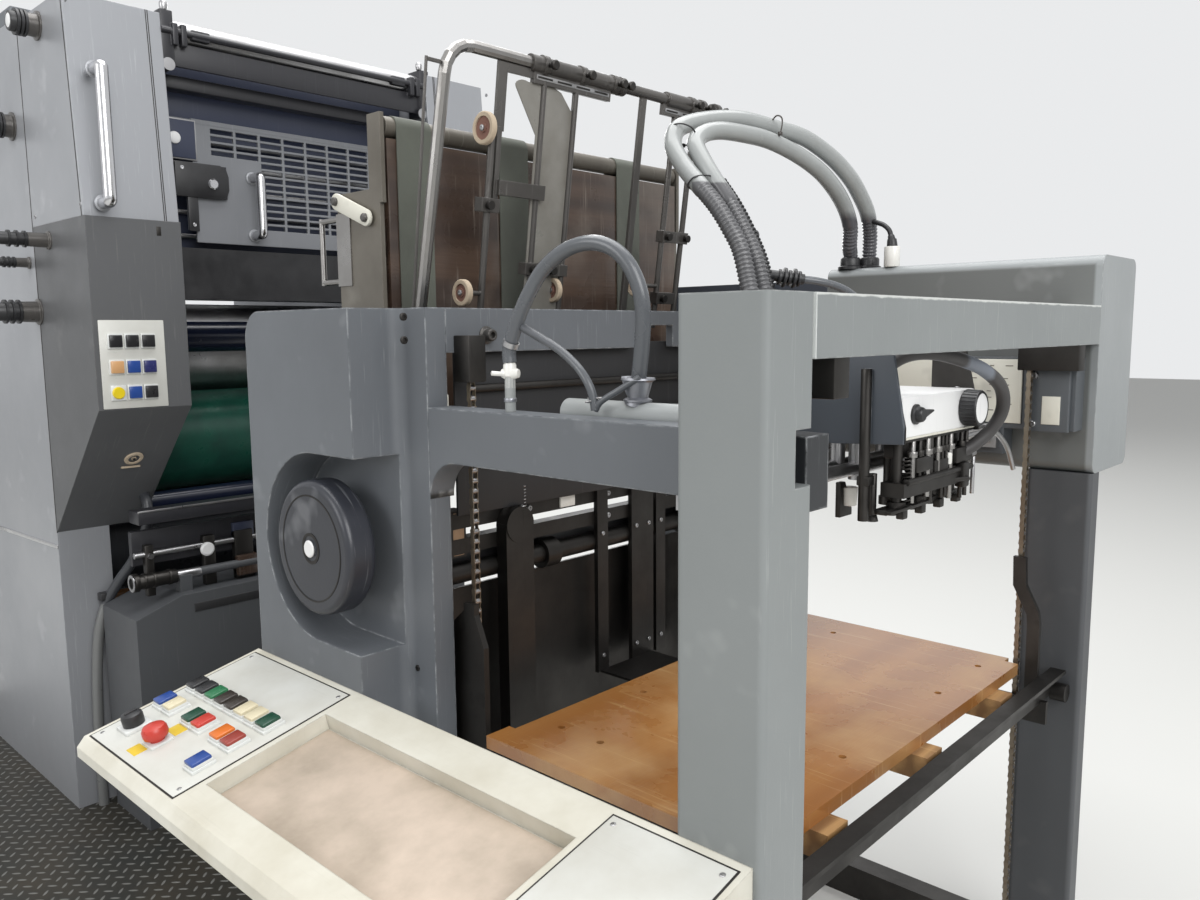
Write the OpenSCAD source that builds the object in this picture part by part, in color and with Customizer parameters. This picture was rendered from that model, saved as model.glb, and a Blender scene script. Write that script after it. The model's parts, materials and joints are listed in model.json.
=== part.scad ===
// Sheet-fed offset printing press: pile feeder, one printing unit, chain delivery.
// X runs from the delivery to the feeder, Y from the operator side to the drive side,
// Z is up. The origin lies on the floor under the middle of the printing unit.

/* [Machine] */
// Half of the width over the side frames
frame_half_w = 685; // [660:5:720]
// Height of the chequered footboard
footboard_h = 70; // [50:5:90]
// Reach of the footboard beyond the operator side frame
footboard_reach = 355; // [300:5:420]

/* [Feeder frame] */
// Rear face of the rear columns, measured from the origin
feeder_rear_x = 3100; // [3000:10:3200]
// Length of the feeder frame
feeder_length = 1232; // [1200:2:1300]
// Height of the feeder frame
feeder_h = 1550; // [1500:10:1600]
// Depth of a rear column along X
post_depth = 134; // [110:2:150]
// Width of the operator side rear column
post_w = 105; // [90:1:120]
// Width of the drive side rear column
far_post_w = 60; // [50:1:80]
// Rounding of the column edges
post_edge_r = 10; // [4:1:16]
// Height of the crossbar and of the front cross plate
crossbar_h = 81; // [70:1:95]
// Depth of the rear crossbar channel
crossbar_depth = 60; // [40:1:80]
// Sheet thickness of the crossbar channel
crossbar_wall = 8; // [5:1:12]
// Underside of the side rails
rail_bottom_z = 1277; // [1200:1:1300]
// Height of the side rails
rail_h = 96; // [80:1:110]
// Thickness of the side rails
rail_t = 54; // [40:1:60]
// Radius of the arch under the front end of a side rail
rail_arch_r = 70; // [40:1:90]

/* [Gear housing] */
// Width of the casting along X
casting_w = 372; // [340:2:400]
// Thickness of the casting along Y
casting_d = 150; // [140:1:160]
// Radius of its upper front corner
casting_corner_r = 55; // [30:1:80]
// Width of the web behind the casting
web_w = 82; // [60:1:100]
// Radius of the handwheel recess
recess_r = 181; // [170:1:195]
// Depth of the handwheel recess
recess_depth = 95; // [80:1:100]
// Handwheel centre, measured back from the feeder's rear face
handwheel_back = 1003; // [990:1:1020]
// Handwheel centre height
handwheel_z = 1102; // [1080:1:1120]
// Handwheel radius
handwheel_r = 130; // [110:1:140]
// Handwheel thickness
handwheel_t = 62; // [50:1:70]
// How far the handwheel stands proud of the casting
handwheel_proud = 8; // [0:1:20]
// Radius of the handwheel shaft
handwheel_shaft_r = 16; // [12:1:22]
// Running clearance round a shaft
shaft_play = 0.05; // [0.02:0.01:0.1]

/* [Drive housing] */
// Width of the drive housing along Y
drive_w = 249; // [220:1:280]
// Underside of the drive housing
drive_bottom_z = 1192; // [1150:1:1240]
// Top of the drive housing
drive_top_z = 1656; // [1600:1:1680]
// Rounding of its outer top edge
drive_edge_r = 45; // [20:1:70]

// Height of the drive housing's front part under its top
drive_step = 26; // [10:1:40]
// Front end of the higher part, measured back from the feeder's rear face
drive_step_back = 642; // [600:1:680]

/* [Operator console] */
// Height of the console at its inner edge
console_z = 850; // [820:1:880]
// Reach of the console from the frame
console_reach = 361; // [330:1:400]
// Fall of the console over its reach
console_fall = 82; // [60:1:100]
// Thickness of the console
console_t = 46; // [36:1:56]
// Overhang of the console beyond the front of the casting
console_overhang = 15; // [0:1:30]
// Length of the console
console_len = 1235; // [1200:5:1240]
// Width of the button panel
button_panel_w = 367; // [340:1:390]
// Length of the tool pan
pan_len = 622; // [600:1:680]
// Width of the tool pan
pan_w = 225; // [180:1:230]
// Depth of the tool pan
pan_depth = 30; // [20:1:36]

/* [Pile hoist] */
// Top of the pile board
board_z = 778; // [740:1:800]
// Thickness of the pile board
board_t = 24; // [18:1:30]
// Length of the pile board along X
board_len = 567; // [540:1:580]
// Width of the pile board along Y
board_w = 1040; // [1000:2:1060]
// Offset of the pile board towards the operator
board_offset = 25; // [0:1:28]
// Gap from the board's rear edge to the frame's rear face
board_back = 97; // [90:1:110]
// Height of a skid
skid_h = 44; // [36:1:52]
// Width of a skid
skid_w = 62; // [50:1:75]
// Side of the carriage bars
carriage_bar = 36; // [30:1:45]
// Width of a hoist chain
chain_w = 22; // [16:1:26]
// Thickness of a hoist chain
chain_t = 12; // [8:1:14]
// Pitch of a hoist chain
chain_pitch = 38; // [30:1:50]

/* [Suction head] */
// Width of the suction head
head_w = 300; // [280:2:340]
// Offset of the suction head towards the drive side
head_offset = 0; // [-20:1:40]
// Depth of the suction head
head_depth = 190; // [160:2:210]
// Height of the suction head
head_h = 77; // [60:1:90]
// Underside of the suction head
head_bottom_z = 1318; // [1300:1:1330]
// Radius of the black setting knob
knob_r = 33; // [26:1:38]

/* [Feed table] */
// Gap between the castings and the feed table's side plates
table_gap = 57; // [50:1:65]
// Length of the feed table
table_len = 716; // [680:2:740]
// Depth of the feed table's side plates
table_d = 165; // [150:1:180]
// Width of a table tape
tape_w = 86; // [70:1:95]
// Hinge of the feed table, measured back from the feeder's rear face
table_hinge_back = 1040; // [1030:1:1050]
// Height of the feed table's hinge
table_hinge_z = 1225; // [1210:1:1240]
// Lean of the hold-down frame away from the raised table, degrees
hold_lean = 8; // [6:1:10]
// Radius of the hinge shaft
table_shaft_r = 14; // [10:1:18]
// Radius of the hold-down tube
hold_tube_r = 12; // [8:1:14]

/* [Printing unit] */
// Half of the length of the side frames
unit_half_len = 650; // [640:5:670]
// Thickness of the side frames
unit_frame_t = 145; // [130:1:160]
// Height of the printing unit
unit_h = 2380; // [2320:10:2440]
// Width of a control cover along Y
cover_w = 245; // [230:1:260]
// Reach of a control cover in front of the side frame
cover_reach = 400; // [360:2:420]
// Lower end of the control cover's slope
slope_low_z = 931; // [900:1:960]
// Upper end of the control cover's slope
slope_high_z = 1310; // [1290:1:1315]
// Seam between the control cover and the upper cover
cover_seam_z = 1812; // [1780:1:1840]
// Radius of the tie tube over the guard
tie_r = 34; // [28:1:38]
// Radius of the three cylinders
cylinder_r = 165; // [150:1:170]
// Gap between two cylinders
nip = 1; // [0.6:0.1:2]
// Radius of a cylinder journal
journal_r = 45; // [35:1:55]

/* [Delivery] */
// Length of the delivery
delivery_len = 2000; // [1900:10:2100]
// Height of the delivery
delivery_h = 1600; // [1550:10:1650]
// Thickness of a delivery side frame
delivery_frame_t = 70; // [55:1:85]

/* [Hoses] */
// Radius of the two bundled air hoses
bundle_r = 19; // [16:1:21]
// Radius of the loop hose
loop_r = 12; // [9:1:14]
// Radius of the hose round the setting knob
head_hose_r = 12; // [9:1:14]
// Radius of the hose along the control cover
unit_hose_r = 15; // [12:1:18]

/* [Hidden] */
$fn = 48;

// Places that follow from the sizes above
front_x = feeder_rear_x - feeder_length;
inner_y = frame_half_w - post_w;
casting_back_x = front_x + casting_w;
plate_x = casting_back_x + web_w;
casting_in_y = frame_half_w - casting_d;
post_front_x = feeder_rear_x - post_depth;
rail_top_z = rail_bottom_z + rail_h;
handwheel_x = feeder_rear_x - handwheel_back;
console_x0 = front_x - console_overhang;
console_x1 = console_x0 + console_len;
console_tilt = atan(console_fall / console_reach);
board_x1 = feeder_rear_x - board_back;
board_x0 = board_x1 - board_len;
skid_z = board_z - board_t - skid_h;
chain_y = inner_y - rail_t - 28;
chain_front_x = plate_x + 23;
chain_rear_x = feeder_rear_x - 110;
chain_low_z = 95;
chain_foot_z = 40;
chain_top_z = feeder_h - crossbar_h - 30;
hoist_gap = 5;
sill_h = 85;
hanger_w = 60;
lug_t = 12;
chain_end_z = chain_low_z + (floor((chain_top_z - chain_low_z) / chain_pitch) - 0.25) * chain_pitch;
near_arm_y = -chain_y - chain_t / 2 - hoist_gap - lug_t / 2;
far_arm_y = chain_y - chain_t / 2 - hoist_gap - lug_t / 2;
bar_z = skid_z - carriage_bar;
arm_top_z = skid_z - 6;
arm_rear_x = board_x1 + 60;
rod_z = head_bottom_z - 55;
rod_r = 12;
head_x1 = feeder_rear_x - 88;
head_x0 = head_x1 - head_depth;
head_y0 = head_offset - head_w / 2;
knob_in = 45;
knob_up = 44;
spindle_r = 8;
table_x = feeder_rear_x - table_hinge_back;
table_half_w = casting_in_y - table_gap;
board_half_w = table_half_w - 16;
roller_r = 20;
roller_in = 23;
roller_z = table_len - roller_r - 3;
low_roller_z = 34;
tape_t = 3;
foot_z = 74;
hold_in = 60;
tube_end_y = -235;
wheel_w = 14;
hold_top_z = 838;
hinge_in = 14;
unit_in_y = frame_half_w - unit_frame_t;
cover_x = unit_half_len + cover_reach;
cover_in_y = frame_half_w - cover_w;
blanket_x = 430;
blanket_z = 1150;
nip_d = 2 * cylinder_r + nip;
plate_a = 115;
impression_a = -100;
guard_x = cover_x - 160;
guard_hinge_z = unit_h - 262;
tie_z = unit_h - 45;
delivery_in_y = frame_half_w - 30 - delivery_frame_t;
guard_pin_r = 9;
delivery_end_x = -unit_half_len - delivery_len;

// Paths of the hoses, from end to end
hose_sides = 10;
head_face = [head_x0, head_offset, head_bottom_z + 44];
housing_top = [feeder_rear_x - 563, inner_y + 65, drive_top_z];
bundle_flat = [0.94, -0.35, 0];
bundle_a_path = [head_face + [0, -40, 0], head_face + [-34, -40, 0], head_face + [-78, -38, 24],
    head_face + [-130, -34, 78], head_face + [-168, -30, 146], head_face + [-193, -24, 221],
    [2605, -20, 1660], [2578, -20, 1707], [2544, -20, 1754], [2500, -15, 1797], [2451, -5, 1843],
    [2412, 8, 1892], [2400, 45, 1935], [2413, 132, 1962], [2447, 212, 1969], [2481, 302, 1957],
    [2509, 372, 1943], [2532, 452, 1908], [2548, 512, 1867], [2552, 562, 1827], [2550, 607, 1786],
    [2543, 634, 1740], housing_top + [0, 0, 36], housing_top];
bundle_b_path = [head_face + [0, 18, 0], head_face + [-30, 18, 0], head_face + [-70, 19, 22],
    head_face + [-120, 20, 72], head_face + [-160, 22, 140], head_face + [-188, 24, 206],
    [2608, 25, 1648], [2577, 25, 1708], [2543, 25, 1763], [2506, 25, 1812], [2470, 30, 1860],
    [2445, 42, 1896], [2440, 75, 1920], [2452, 120, 1932], [2472, 185, 1931], [2491, 250, 1924],
    [2512, 330, 1902], [2528, 405, 1872], [2536, 465, 1836], [2535, 520, 1796], [2528, 560, 1755],
    [2514, 585, 1712], housing_top + [-32, -38, 34], housing_top + [-32, -38, 0]];
loop_path = [[2512, -552, 1455], [2512, -552, 1478], [2530, -550, 1522], [2552, -548, 1560],
    [2584, -545, 1600], [2622, -541, 1626], [2660, -537, 1638], [2695, -532, 1638], [2726, -527, 1626],
    [2750, -522, 1602], [2765, -517, 1568], [2768, -512, 1530], [2762, -508, 1480], [2753, -505, 1432],
    [2750, -503.7, 1415], [2750, -503.7, rail_top_z + 24.1]];
head_path = [[head_x1 - 52, -115, head_bottom_z + head_h], [head_x1 - 52, -115, head_bottom_z + head_h + 24],
    [head_x1 - 44, -108, 1445], [head_x1 - 18, -92, 1462], [head_x1 + 10, -60, 1464],
    [head_x1 + 30, 0, 1452], [head_x1 + 44, 70, 1432], [head_x1 + 52, 130, 1400],
    [head_x1 + 46, 160, 1358], [head_x1 + 28, 158, 1320], [head_x1 + 4, 136, 1290],
    [head_x1 - 22, 110, 1268], [head_x1 - 22, 110, 1249]];
unit_path = [[750, -470, 1025.75], [767, -470, 1007.8], [777, -474, 960], [767, -486, 900],
    [738, -512, 826], [704, -542, 766], [679, -572, 700], [675, -598, 620], [675, -611, 520],
    [675, -618, 400], [675, -622, 260], [675, -622, 100], [675, -622, footboard_h]];

// A block between two opposite corners
module block(low, high) {
    translate(low) cube(high - low);
}

// Extrudes an outline drawn in X and Z along Y
module along_y(y0, y1) {
    translate([0, y1, 0]) rotate([90, 0, 0]) linear_extrude(height = y1 - y0) children();
}

// Extrudes an outline drawn in Y and Z along X
module along_x(x0, x1) {
    translate([x0, 0, 0]) rotate([90, 0, 90]) linear_extrude(height = x1 - x0) children();
}

// A round bar along Y
module bar_y(x, z, r, y0, y1) {
    translate([x, y1, z]) rotate([90, 0, 0]) cylinder(r = r, h = y1 - y0);
}

// A round bar along X
module bar_x(y, z, r, x0, x1) {
    translate([x0, y, z]) rotate([0, 90, 0]) cylinder(r = r, h = x1 - x0);
}

// A rectangle with four round corners
module round_rect(low, high, r) {
    translate([low.x + r, low.y]) square([high.x - low.x - 2 * r, high.y - low.y]);
    translate([low.x, low.y + r]) square([high.x - low.x, high.y - low.y - 2 * r]);
    for (x = [low.x + r, high.x - r], y = [low.y + r, high.y - r]) translate([x, y]) circle(r = r);
}

// Mirrors a piece of the operator side to the drive side
module drive_side() {
    mirror([0, 1, 0]) children();
}

// Feeder frame

module near_column() {
    notch_low_z = 1314;
    notch_high_z = 1385;
    notch_in = 42;
    notch_depth = 70;
    color("dimgray") difference() {
        linear_extrude(height = feeder_h)
            round_rect([post_front_x, -frame_half_w], [feeder_rear_x, -inner_y], post_edge_r);
        block([feeder_rear_x - notch_depth, -inner_y - notch_in, notch_low_z],
            [feeder_rear_x + 1, -inner_y + 1, notch_high_z]);
    }
}

module far_column() {
    color("dimgray") linear_extrude(height = drive_bottom_z)
        round_rect([post_front_x, inner_y], [feeder_rear_x, inner_y + far_post_w], post_edge_r);
}

module rear_crossbar() {
    color("slategray") along_y(-inner_y, inner_y) difference() {
        translate([feeder_rear_x - crossbar_depth, feeder_h - crossbar_h])
            square([crossbar_depth, crossbar_h]);
        translate([feeder_rear_x - crossbar_depth - 1, feeder_h - crossbar_h - 1])
            square([crossbar_depth - crossbar_wall + 1, crossbar_h - crossbar_wall + 1]);
    }
}

// Outline of a side rail in X and Z, with the arch under its front end
module rail_outline() {
    translate([plate_x, rail_bottom_z]) square([feeder_rear_x - 10 - plate_x, rail_h]);
    difference() {
        translate([plate_x, rail_bottom_z - rail_arch_r]) square(rail_arch_r);
        translate([plate_x + rail_arch_r, rail_bottom_z - rail_arch_r]) circle(r = rail_arch_r);
    }
}

module near_side_rail() {
    color("slategray") along_y(-inner_y, -inner_y + rail_t) rail_outline();
}

module far_side_rail() {
    panel_low_z = 1228;
    panel_top_z = 1441;
    plate_low_z = 1286;
    plate_x1 = feeder_rear_x - 25;
    color("slategray") along_y(inner_y - rail_t, inner_y) {
        translate([plate_x, panel_low_z]) square([chain_rear_x - 60 - plate_x, panel_top_z - panel_low_z]);
        translate([chain_rear_x - 61, plate_low_z])
            square([plate_x1 - chain_rear_x + 61, panel_top_z - plate_low_z]);
    }
}

// Outline of the casting in X and Z, with its round upper front corner
module casting_outline(top_z) {
    translate([front_x, 0]) square([casting_w, top_z - casting_corner_r]);
    translate([front_x + casting_corner_r, 0]) square([casting_w - casting_corner_r, top_z]);
    translate([front_x + casting_corner_r, top_z - casting_corner_r]) circle(r = casting_corner_r);
}

module gear_housing() {
    fillet_r = 25;
    bore_deep = 40;
    color("slategray") difference() {
        union() {
            along_y(-frame_half_w, -casting_in_y) casting_outline(feeder_h);
            block([casting_back_x, -inner_y, 0], [plate_x, -casting_in_y, feeder_h]);
            linear_extrude(height = feeder_h) difference() {
                translate([casting_back_x - 1, -inner_y - fillet_r]) square([fillet_r + 1, fillet_r + 1]);
                translate([casting_back_x + fillet_r, -inner_y - fillet_r]) circle(r = fillet_r);
            }
        }
        bar_y(handwheel_x, handwheel_z, recess_r, -frame_half_w - 1, -frame_half_w + recess_depth);
        block([handwheel_x, -frame_half_w - 1, handwheel_z - recess_r],
            [casting_back_x + fillet_r + 1, -frame_half_w + recess_depth, handwheel_z + recess_r]);
        bar_y(handwheel_x, handwheel_z, handwheel_shaft_r + shaft_play,
            -frame_half_w, -frame_half_w + recess_depth + bore_deep);
        bar_y(table_x, table_hinge_z, table_shaft_r + shaft_play, -casting_in_y - hinge_in, 0);
    }
}

module far_front_column() {
    color("slategray") difference() {
        union() {
            block([front_x, casting_in_y, 0], [plate_x, frame_half_w, drive_bottom_z]);
            block([front_x, casting_in_y, drive_bottom_z - 1], [plate_x, inner_y, feeder_h]);
        }
        bar_y(table_x, table_hinge_z, table_shaft_r + shaft_play, 0, casting_in_y + hinge_in);
    }
}

module front_cross_plate() {
    plate_t = 20;
    notch_y = -6;
    notch_w = 126;
    notch_h = 49;
    color("slategray") along_x(plate_x - plate_t, plate_x) difference() {
        translate([-casting_in_y, feeder_h - crossbar_h]) square([2 * casting_in_y, crossbar_h]);
        translate([notch_y, feeder_h - crossbar_h - 1]) square([notch_w, notch_h + 1]);
    }
}

module feeder_sills() {
    sill_w = 60;
    apron_t = 6;
    apron_z = 1005;
    color("dimgray") {
        block([plate_x, -inner_y - sill_w, 0], [post_front_x, -inner_y, sill_h]);
        block([plate_x, inner_y, 0], [post_front_x, inner_y + sill_w, sill_h]);
        block([casting_back_x, -casting_in_y, 0], [plate_x, casting_in_y, sill_h]);
        block([casting_back_x, -casting_in_y, sill_h - 1],
            [casting_back_x + apron_t, casting_in_y, apron_z]);
    }
}

module drive_housing() {
    y0 = inner_y;
    y1 = inner_y + drive_w;
    step_x = feeder_rear_x - drive_step_back;
    color("slategray") {
        along_x(step_x, feeder_rear_x) round_rect([y0, drive_bottom_z], [y1, drive_top_z], drive_edge_r / 2);
        along_x(front_x, step_x + 1)
            translate([y0, drive_bottom_z]) square([drive_w - 6, drive_top_z - drive_step - drive_bottom_z]);
    }
}

module handwheel() {
    rim_r = 14;
    cap_r = 17;
    cap_t = 3;
    face_y = -frame_half_w - handwheel_proud;
    color("black") translate([handwheel_x, face_y, handwheel_z]) rotate([-90, 0, 0]) union() {
        rotate_extrude() {
            square([handwheel_r - rim_r, handwheel_t]);
            translate([0, rim_r]) square([handwheel_r, handwheel_t - 2 * rim_r]);
            translate([handwheel_r - rim_r, rim_r]) circle(r = rim_r);
            translate([handwheel_r - rim_r, handwheel_t - rim_r]) circle(r = rim_r);
        }
        translate([0, 0, -cap_t]) cylinder(r = cap_r, h = cap_t + 1);
        cylinder(r = handwheel_shaft_r, h = handwheel_proud + recess_depth + 38);
    }
}

// Operator console

// Height of the console's upper face over its reach
function console_top(y) = console_z - (-frame_half_w - y) * console_fall / console_reach;

module console_outline() {
    y1 = -frame_half_w;
    y0 = y1 - console_reach;
    lip = 14;
    polygon([[y1, console_z], [y1, console_z - console_t], [y0 + lip, console_top(y0 + lip) - console_t],
        [y0, console_top(y0) - console_t + lip], [y0, console_top(y0) - lip],
        [y0 + lip, console_top(y0 + lip)]]);
}

// Carries a piece drawn flat at the console's inner edge onto its sloping face
module on_console() {
    translate([0, -frame_half_w, console_z]) rotate([console_tilt, 0, 0]) children();
}

module console_tray() {
    pan_x0 = console_x0 + button_panel_w + 14;
    pan_in = 75;
    color("ivory") difference() {
        along_x(console_x0, console_x1) console_outline();
        on_console() block([pan_x0, -pan_in - pan_w, -pan_depth], [pan_x0 + pan_len, -pan_in, 20]);
    }
}

module console_brackets() {
    bracket_t = 24;
    bracket_h = 210;
    reach = console_reach * 0.7;
    y1 = -frame_half_w;
    color("dimgray") for (x = [front_x + 60, casting_back_x - 80, post_front_x + 40])
        along_x(x, x + bracket_t) polygon([[y1, console_top(y1) - console_t],
            [y1 - reach, console_top(y1 - reach) - console_t],
            [y1 - reach, console_top(y1 - reach) - console_t - 30],
            [y1, console_top(y1) - console_t - bracket_h]]);
}

// A row of square push buttons at their places from the console's front end
module button_row(y, places) {
    button = 23;
    button_h = 11;
    for (x = places)
        translate([console_x0 + x - button / 2, y - button / 2, 0]) cube([button, button, button_h]);
}

module console_buttons() {
    knob_h = 26;
    color("gray") on_console() {
        button_row(-143, [30, 64, 100, 154, 190, 222, 252, 292]);
        button_row(-210, [32, 66, 136, 178, 250, 300]);
        button_row(-270, [290, console_len - 136]);
        translate([console_x0 + 36, -270, 0]) cylinder(r = 15, h = knob_h);
        translate([console_x0 + 112, -266, 0]) cylinder(r = 12, h = knob_h);
        translate([console_x0 + 112, -266, knob_h - 8]) cylinder(r = 20, h = 10);
    }
}

// Pile hoist

module pile_board() {
    hole_r = 7;
    ear_w = 56;
    ear_out = 16;
    y0 = -board_w / 2 - board_offset;
    notch_x = chain_rear_x - chain_w / 2 - hoist_gap;
    notch_y = chain_y - chain_t / 2 - hoist_gap;
    color("peru") difference() {
        union() {
            block([board_x0, y0, board_z - board_t], [board_x1, y0 + board_w, board_z]);
            for (y = [y0, y0 + board_w - ear_w])
                block([board_x0 - ear_out, y, board_z - board_t], [board_x0 + 1, y + ear_w, board_z]);
        }
        for (x = [board_x0 + 60, board_x0 + 158, board_x1 - 60], y = [-428, -194, 194, 400])
            translate([x, y, board_z - board_t - 1]) cylinder(r = hole_r, h = board_t + 2);
        block([notch_x, -board_w, board_z - board_t - 1], [board_x1 + 1, -notch_y, board_z + 1]);
        block([notch_x, notch_y - lug_t - hoist_gap, board_z - board_t - 1],
            [board_x1 + 1, board_w, board_z + 1]);
    }
}

module pile_skids() {
    color("burlywood") for (i = [-1 : 1]) let (y = i * board_w / 3 - board_offset)
        block([board_x0 + 20, y - skid_w / 2, skid_z], [board_x1 + 30, y + skid_w / 2, skid_z + skid_h]);
}

// A hoist arm beside two chains, with the tapered hanger at its front end
module hoist_arm(y) {
    x = chain_front_x;
    z = bar_z - 20;
    translate([0, y, 0]) along_y(-lug_t / 2, lug_t / 2) {
        translate([x - 20, z]) square([arm_rear_x - x + 20, arm_top_z - z]);
        polygon([[x - hanger_w, z], [x + 45, z], [x + 45, z + 273], [x + 20, z + 331], [x + 20, z + 351],
            [x - 10, z + 351], [x - 10, z + 336], [x - 45, z + 307], [x - hanger_w, z + 281]]);
    }
}

// The bent strip that carries the far rear end of the pile
module rear_strip() {
    x = chain_rear_x;
    z = bar_z - 20;
    translate([0, far_arm_y, 0]) along_y(-lug_t / 2, lug_t / 2)
        polygon([[x + 26, z], [x + 52, z], [x + 52, z + 215], [x + 48, z + 245], [x + 20, z + 300],
            [x + 17, z + 360], [x - 9, z + 360], [x - 7, z + 296], [x + 24, z + 236], [x + 26, z + 212]]);
}

module pile_carriage() {
    rail_y = inner_y - 14;
    wheel_r = 20;
    wheel_gap = 0.3;
    color("dimgray") union() {
        for (x = [board_x0 + 60, board_x1 - 120])
            block([x, near_arm_y, bar_z], [x + carriage_bar, far_arm_y, skid_z]);
        hoist_arm(near_arm_y);
        hoist_arm(far_arm_y);
        rear_strip();
        for (s = [-1, 1]) bar_x(s * (inner_y - wheel_gap - wheel_r), arm_top_z, wheel_r,
            board_x1 + 45, board_x1 + 76);
        block([board_x1 + 38, -rail_y, skid_z - 12], [board_x1 + 46, rail_y, skid_z + 44]);
        block([board_x1 + 38, -rail_y, skid_z + 36], [board_x1 + 70, rail_y, skid_z + 44]);
    }
}

// Outline of a chain run, wide at each link and narrow between
function chain_side(s, count) = [for (i = [0 : count - 1], j = [0 : 3])
    let (z = chain_low_z + (i + j / 4) * chain_pitch, w = (j == 1 || j == 2) ? 0.5 : 0.3)
        [s * w * chain_w, z]];

module chain_run(x, s) {
    count = floor((chain_top_z - chain_low_z) / chain_pitch);
    outline = concat(chain_side(1, count), [for (p = chain_side(-1, count)) p]);
    n = 4 * count;
    path = [for (i = [0 : n - 1]) outline[i], for (i = [n - 1 : -1 : 0]) outline[n + i]];
    translate([x, s * chain_y, 0]) along_y(-chain_t / 2, chain_t / 2) polygon(path);
}

module hoist_chains() {
    foot = 40;
    y0 = chain_y - foot / 2;
    y1 = chain_y + foot / 2;
    color("black") for (s = [0, 1]) mirror([0, s, 0]) {
        for (x = [chain_front_x, chain_rear_x]) {
            chain_run(x, 1);
            block([x - foot / 2, chain_y - chain_t / 2, chain_foot_z], [x + foot / 2, inner_y, chain_low_z]);
        }
        block([plate_x, y0, chain_end_z], [chain_front_x + foot / 2, y1, feeder_h - 50]);
        block([chain_rear_x - foot / 2, y0, chain_end_z],
            [feeder_rear_x - crossbar_wall, y1, feeder_h - crossbar_wall]);
    }
}

// Suction head over the rear edge of the pile

module head_rods() {
    rod_in_y = inner_y - rail_t;
    seat = 20;
    post_r = 15;
    color("silver") for (x = [head_x0 + 40, head_x1 - 110]) {
        bar_y(x, rod_z, rod_r, -rod_in_y + seat - 1, rod_in_y - seat + 1);
        for (y = [-rod_in_y, rod_in_y - seat])
            block([x - seat, y, rod_z - seat], [x + seat, y + seat, rail_bottom_z + 18]);
        for (y = [head_y0 + 60, head_y0 + head_w - 60])
            translate([x, y, rod_z - seat]) cylinder(r = post_r, h = head_bottom_z - rod_z + seat);
    }
}

// Carries a piece drawn along Z onto the head's rear face
module at_knob() {
    translate([head_x1, head_y0 + head_w - knob_in, head_bottom_z + knob_up]) rotate([0, 90, 0]) children();
}

module suction_head() {
    color("lightgray") difference() {
        block([head_x0, head_y0, head_bottom_z], [head_x1, head_y0 + head_w, head_bottom_z + head_h]);
        at_knob() translate([0, 0, -30]) cylinder(r = spindle_r + shaft_play, h = 31);
    }
}

module suckers() {
    sucker_z = 1215;
    cup_r = 16;
    cup_h = 14;
    cheek_t = 6;
    cheek_up = 150;
    bar_y1 = head_w / 2 - 18;
    x1 = head_x1;
    color("dimgray") {
        for (i = [0 : 5]) {
            y = head_y0 + 40 + i * (head_w - 80) / 5;
            x = x1 - 26 - (i % 2) * 36;
            translate([x, y, sucker_z]) cylinder(r = 9, h = head_bottom_z - sucker_z);
            translate([x, y, sucker_z - cup_h]) cylinder(r = cup_r, h = cup_h);
        }
        block([x1 - 44, head_offset - bar_y1, 1225], [x1 - 2, head_offset + bar_y1, 1249]);
        for (y = [head_y0 - cheek_t, head_y0 + head_w]) along_y(y, y + cheek_t)
            polygon([[x1 - 85, head_bottom_z], [x1 + 7, head_bottom_z], [x1 + 7, head_bottom_z + 27],
                [x1 - 22, head_bottom_z + cheek_up], [x1 - 85, head_bottom_z + cheek_up]]);
    }
}

module setting_knob() {
    knob_t = 30;
    color("black") at_knob() union() {
        translate([0, 0, 0.3]) cylinder(r = knob_r, h = knob_t);
        translate([0, 0, -28]) cylinder(r = spindle_r, h = 29);
    }
}

module scale_plate() {
    plate_t = 6;
    z0 = 1298;
    z1 = 1437;
    color("ivory") block([chain_rear_x - 321, inner_y - rail_t - plate_t, z0],
        [chain_rear_x - 23, inner_y - rail_t, z1]);
}

module air_pipe() {
    pipe_r = 22;
    stem_r = 9;
    y = -inner_y + rail_t + pipe_r + 0.3;
    color("gainsboro") {
        bar_x(y, rail_top_z + 2, pipe_r, plate_x + 280, chain_rear_x - 70);
        translate([loop_path[0].x, loop_path[0].y, rail_top_z])
            cylinder(r = stem_r, h = loop_path[0].z - rail_top_z);
    }
}

module guide_bars() {
    cross = 30;
    guide_t = 10;
    tube_r = 20;
    tube_in = 17;
    clamp_r = 31;
    x1 = chain_front_x - hanger_w - hoist_gap;
    tube_z = 1040;
    post_y = 353;
    post_w = 73;
    boss_r = 36;
    boss_z = 1128;
    top_z = 1161;
    color("dimgray") union() {
        for (z = [top_z - 80, top_z - cross])
            block([x1 - cross, -casting_in_y, z], [x1, casting_in_y, z + cross]);
        bar_y(x1 - tube_in, tube_z, tube_r, -casting_in_y, casting_in_y);
        for (s = [-1, 1]) {
            block([x1, s * post_y - post_w / 2, sill_h], [x1 + cross, s * post_y + post_w / 2, boss_z]);
            bar_x(s * post_y, boss_z - 4, boss_r, x1 - 1, x1 + cross + 2);
            bar_y(x1 - tube_in, tube_z, clamp_r, s * 238 - 20, s * 238 + 20);
            block([x1 - 38, s * 483 - 18, top_z - 86], [x1 - 2, s * 483 + 18, top_z + 5]);
        }
        for (g = [[-105, 34], [10, 77], [98, 34], [200, 34]])
            block([x1 - 1, g.x, 742], [x1 + guide_t, g.x + g.y, top_z]);
        block([x1 + guide_t - 1, -98, 742], [x1 + 110, 80, 747]);
    }
}

// Feed table, raised against the printing unit

// Places of the tapes across the table
tape_places = [-396, -124, 267];

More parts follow.
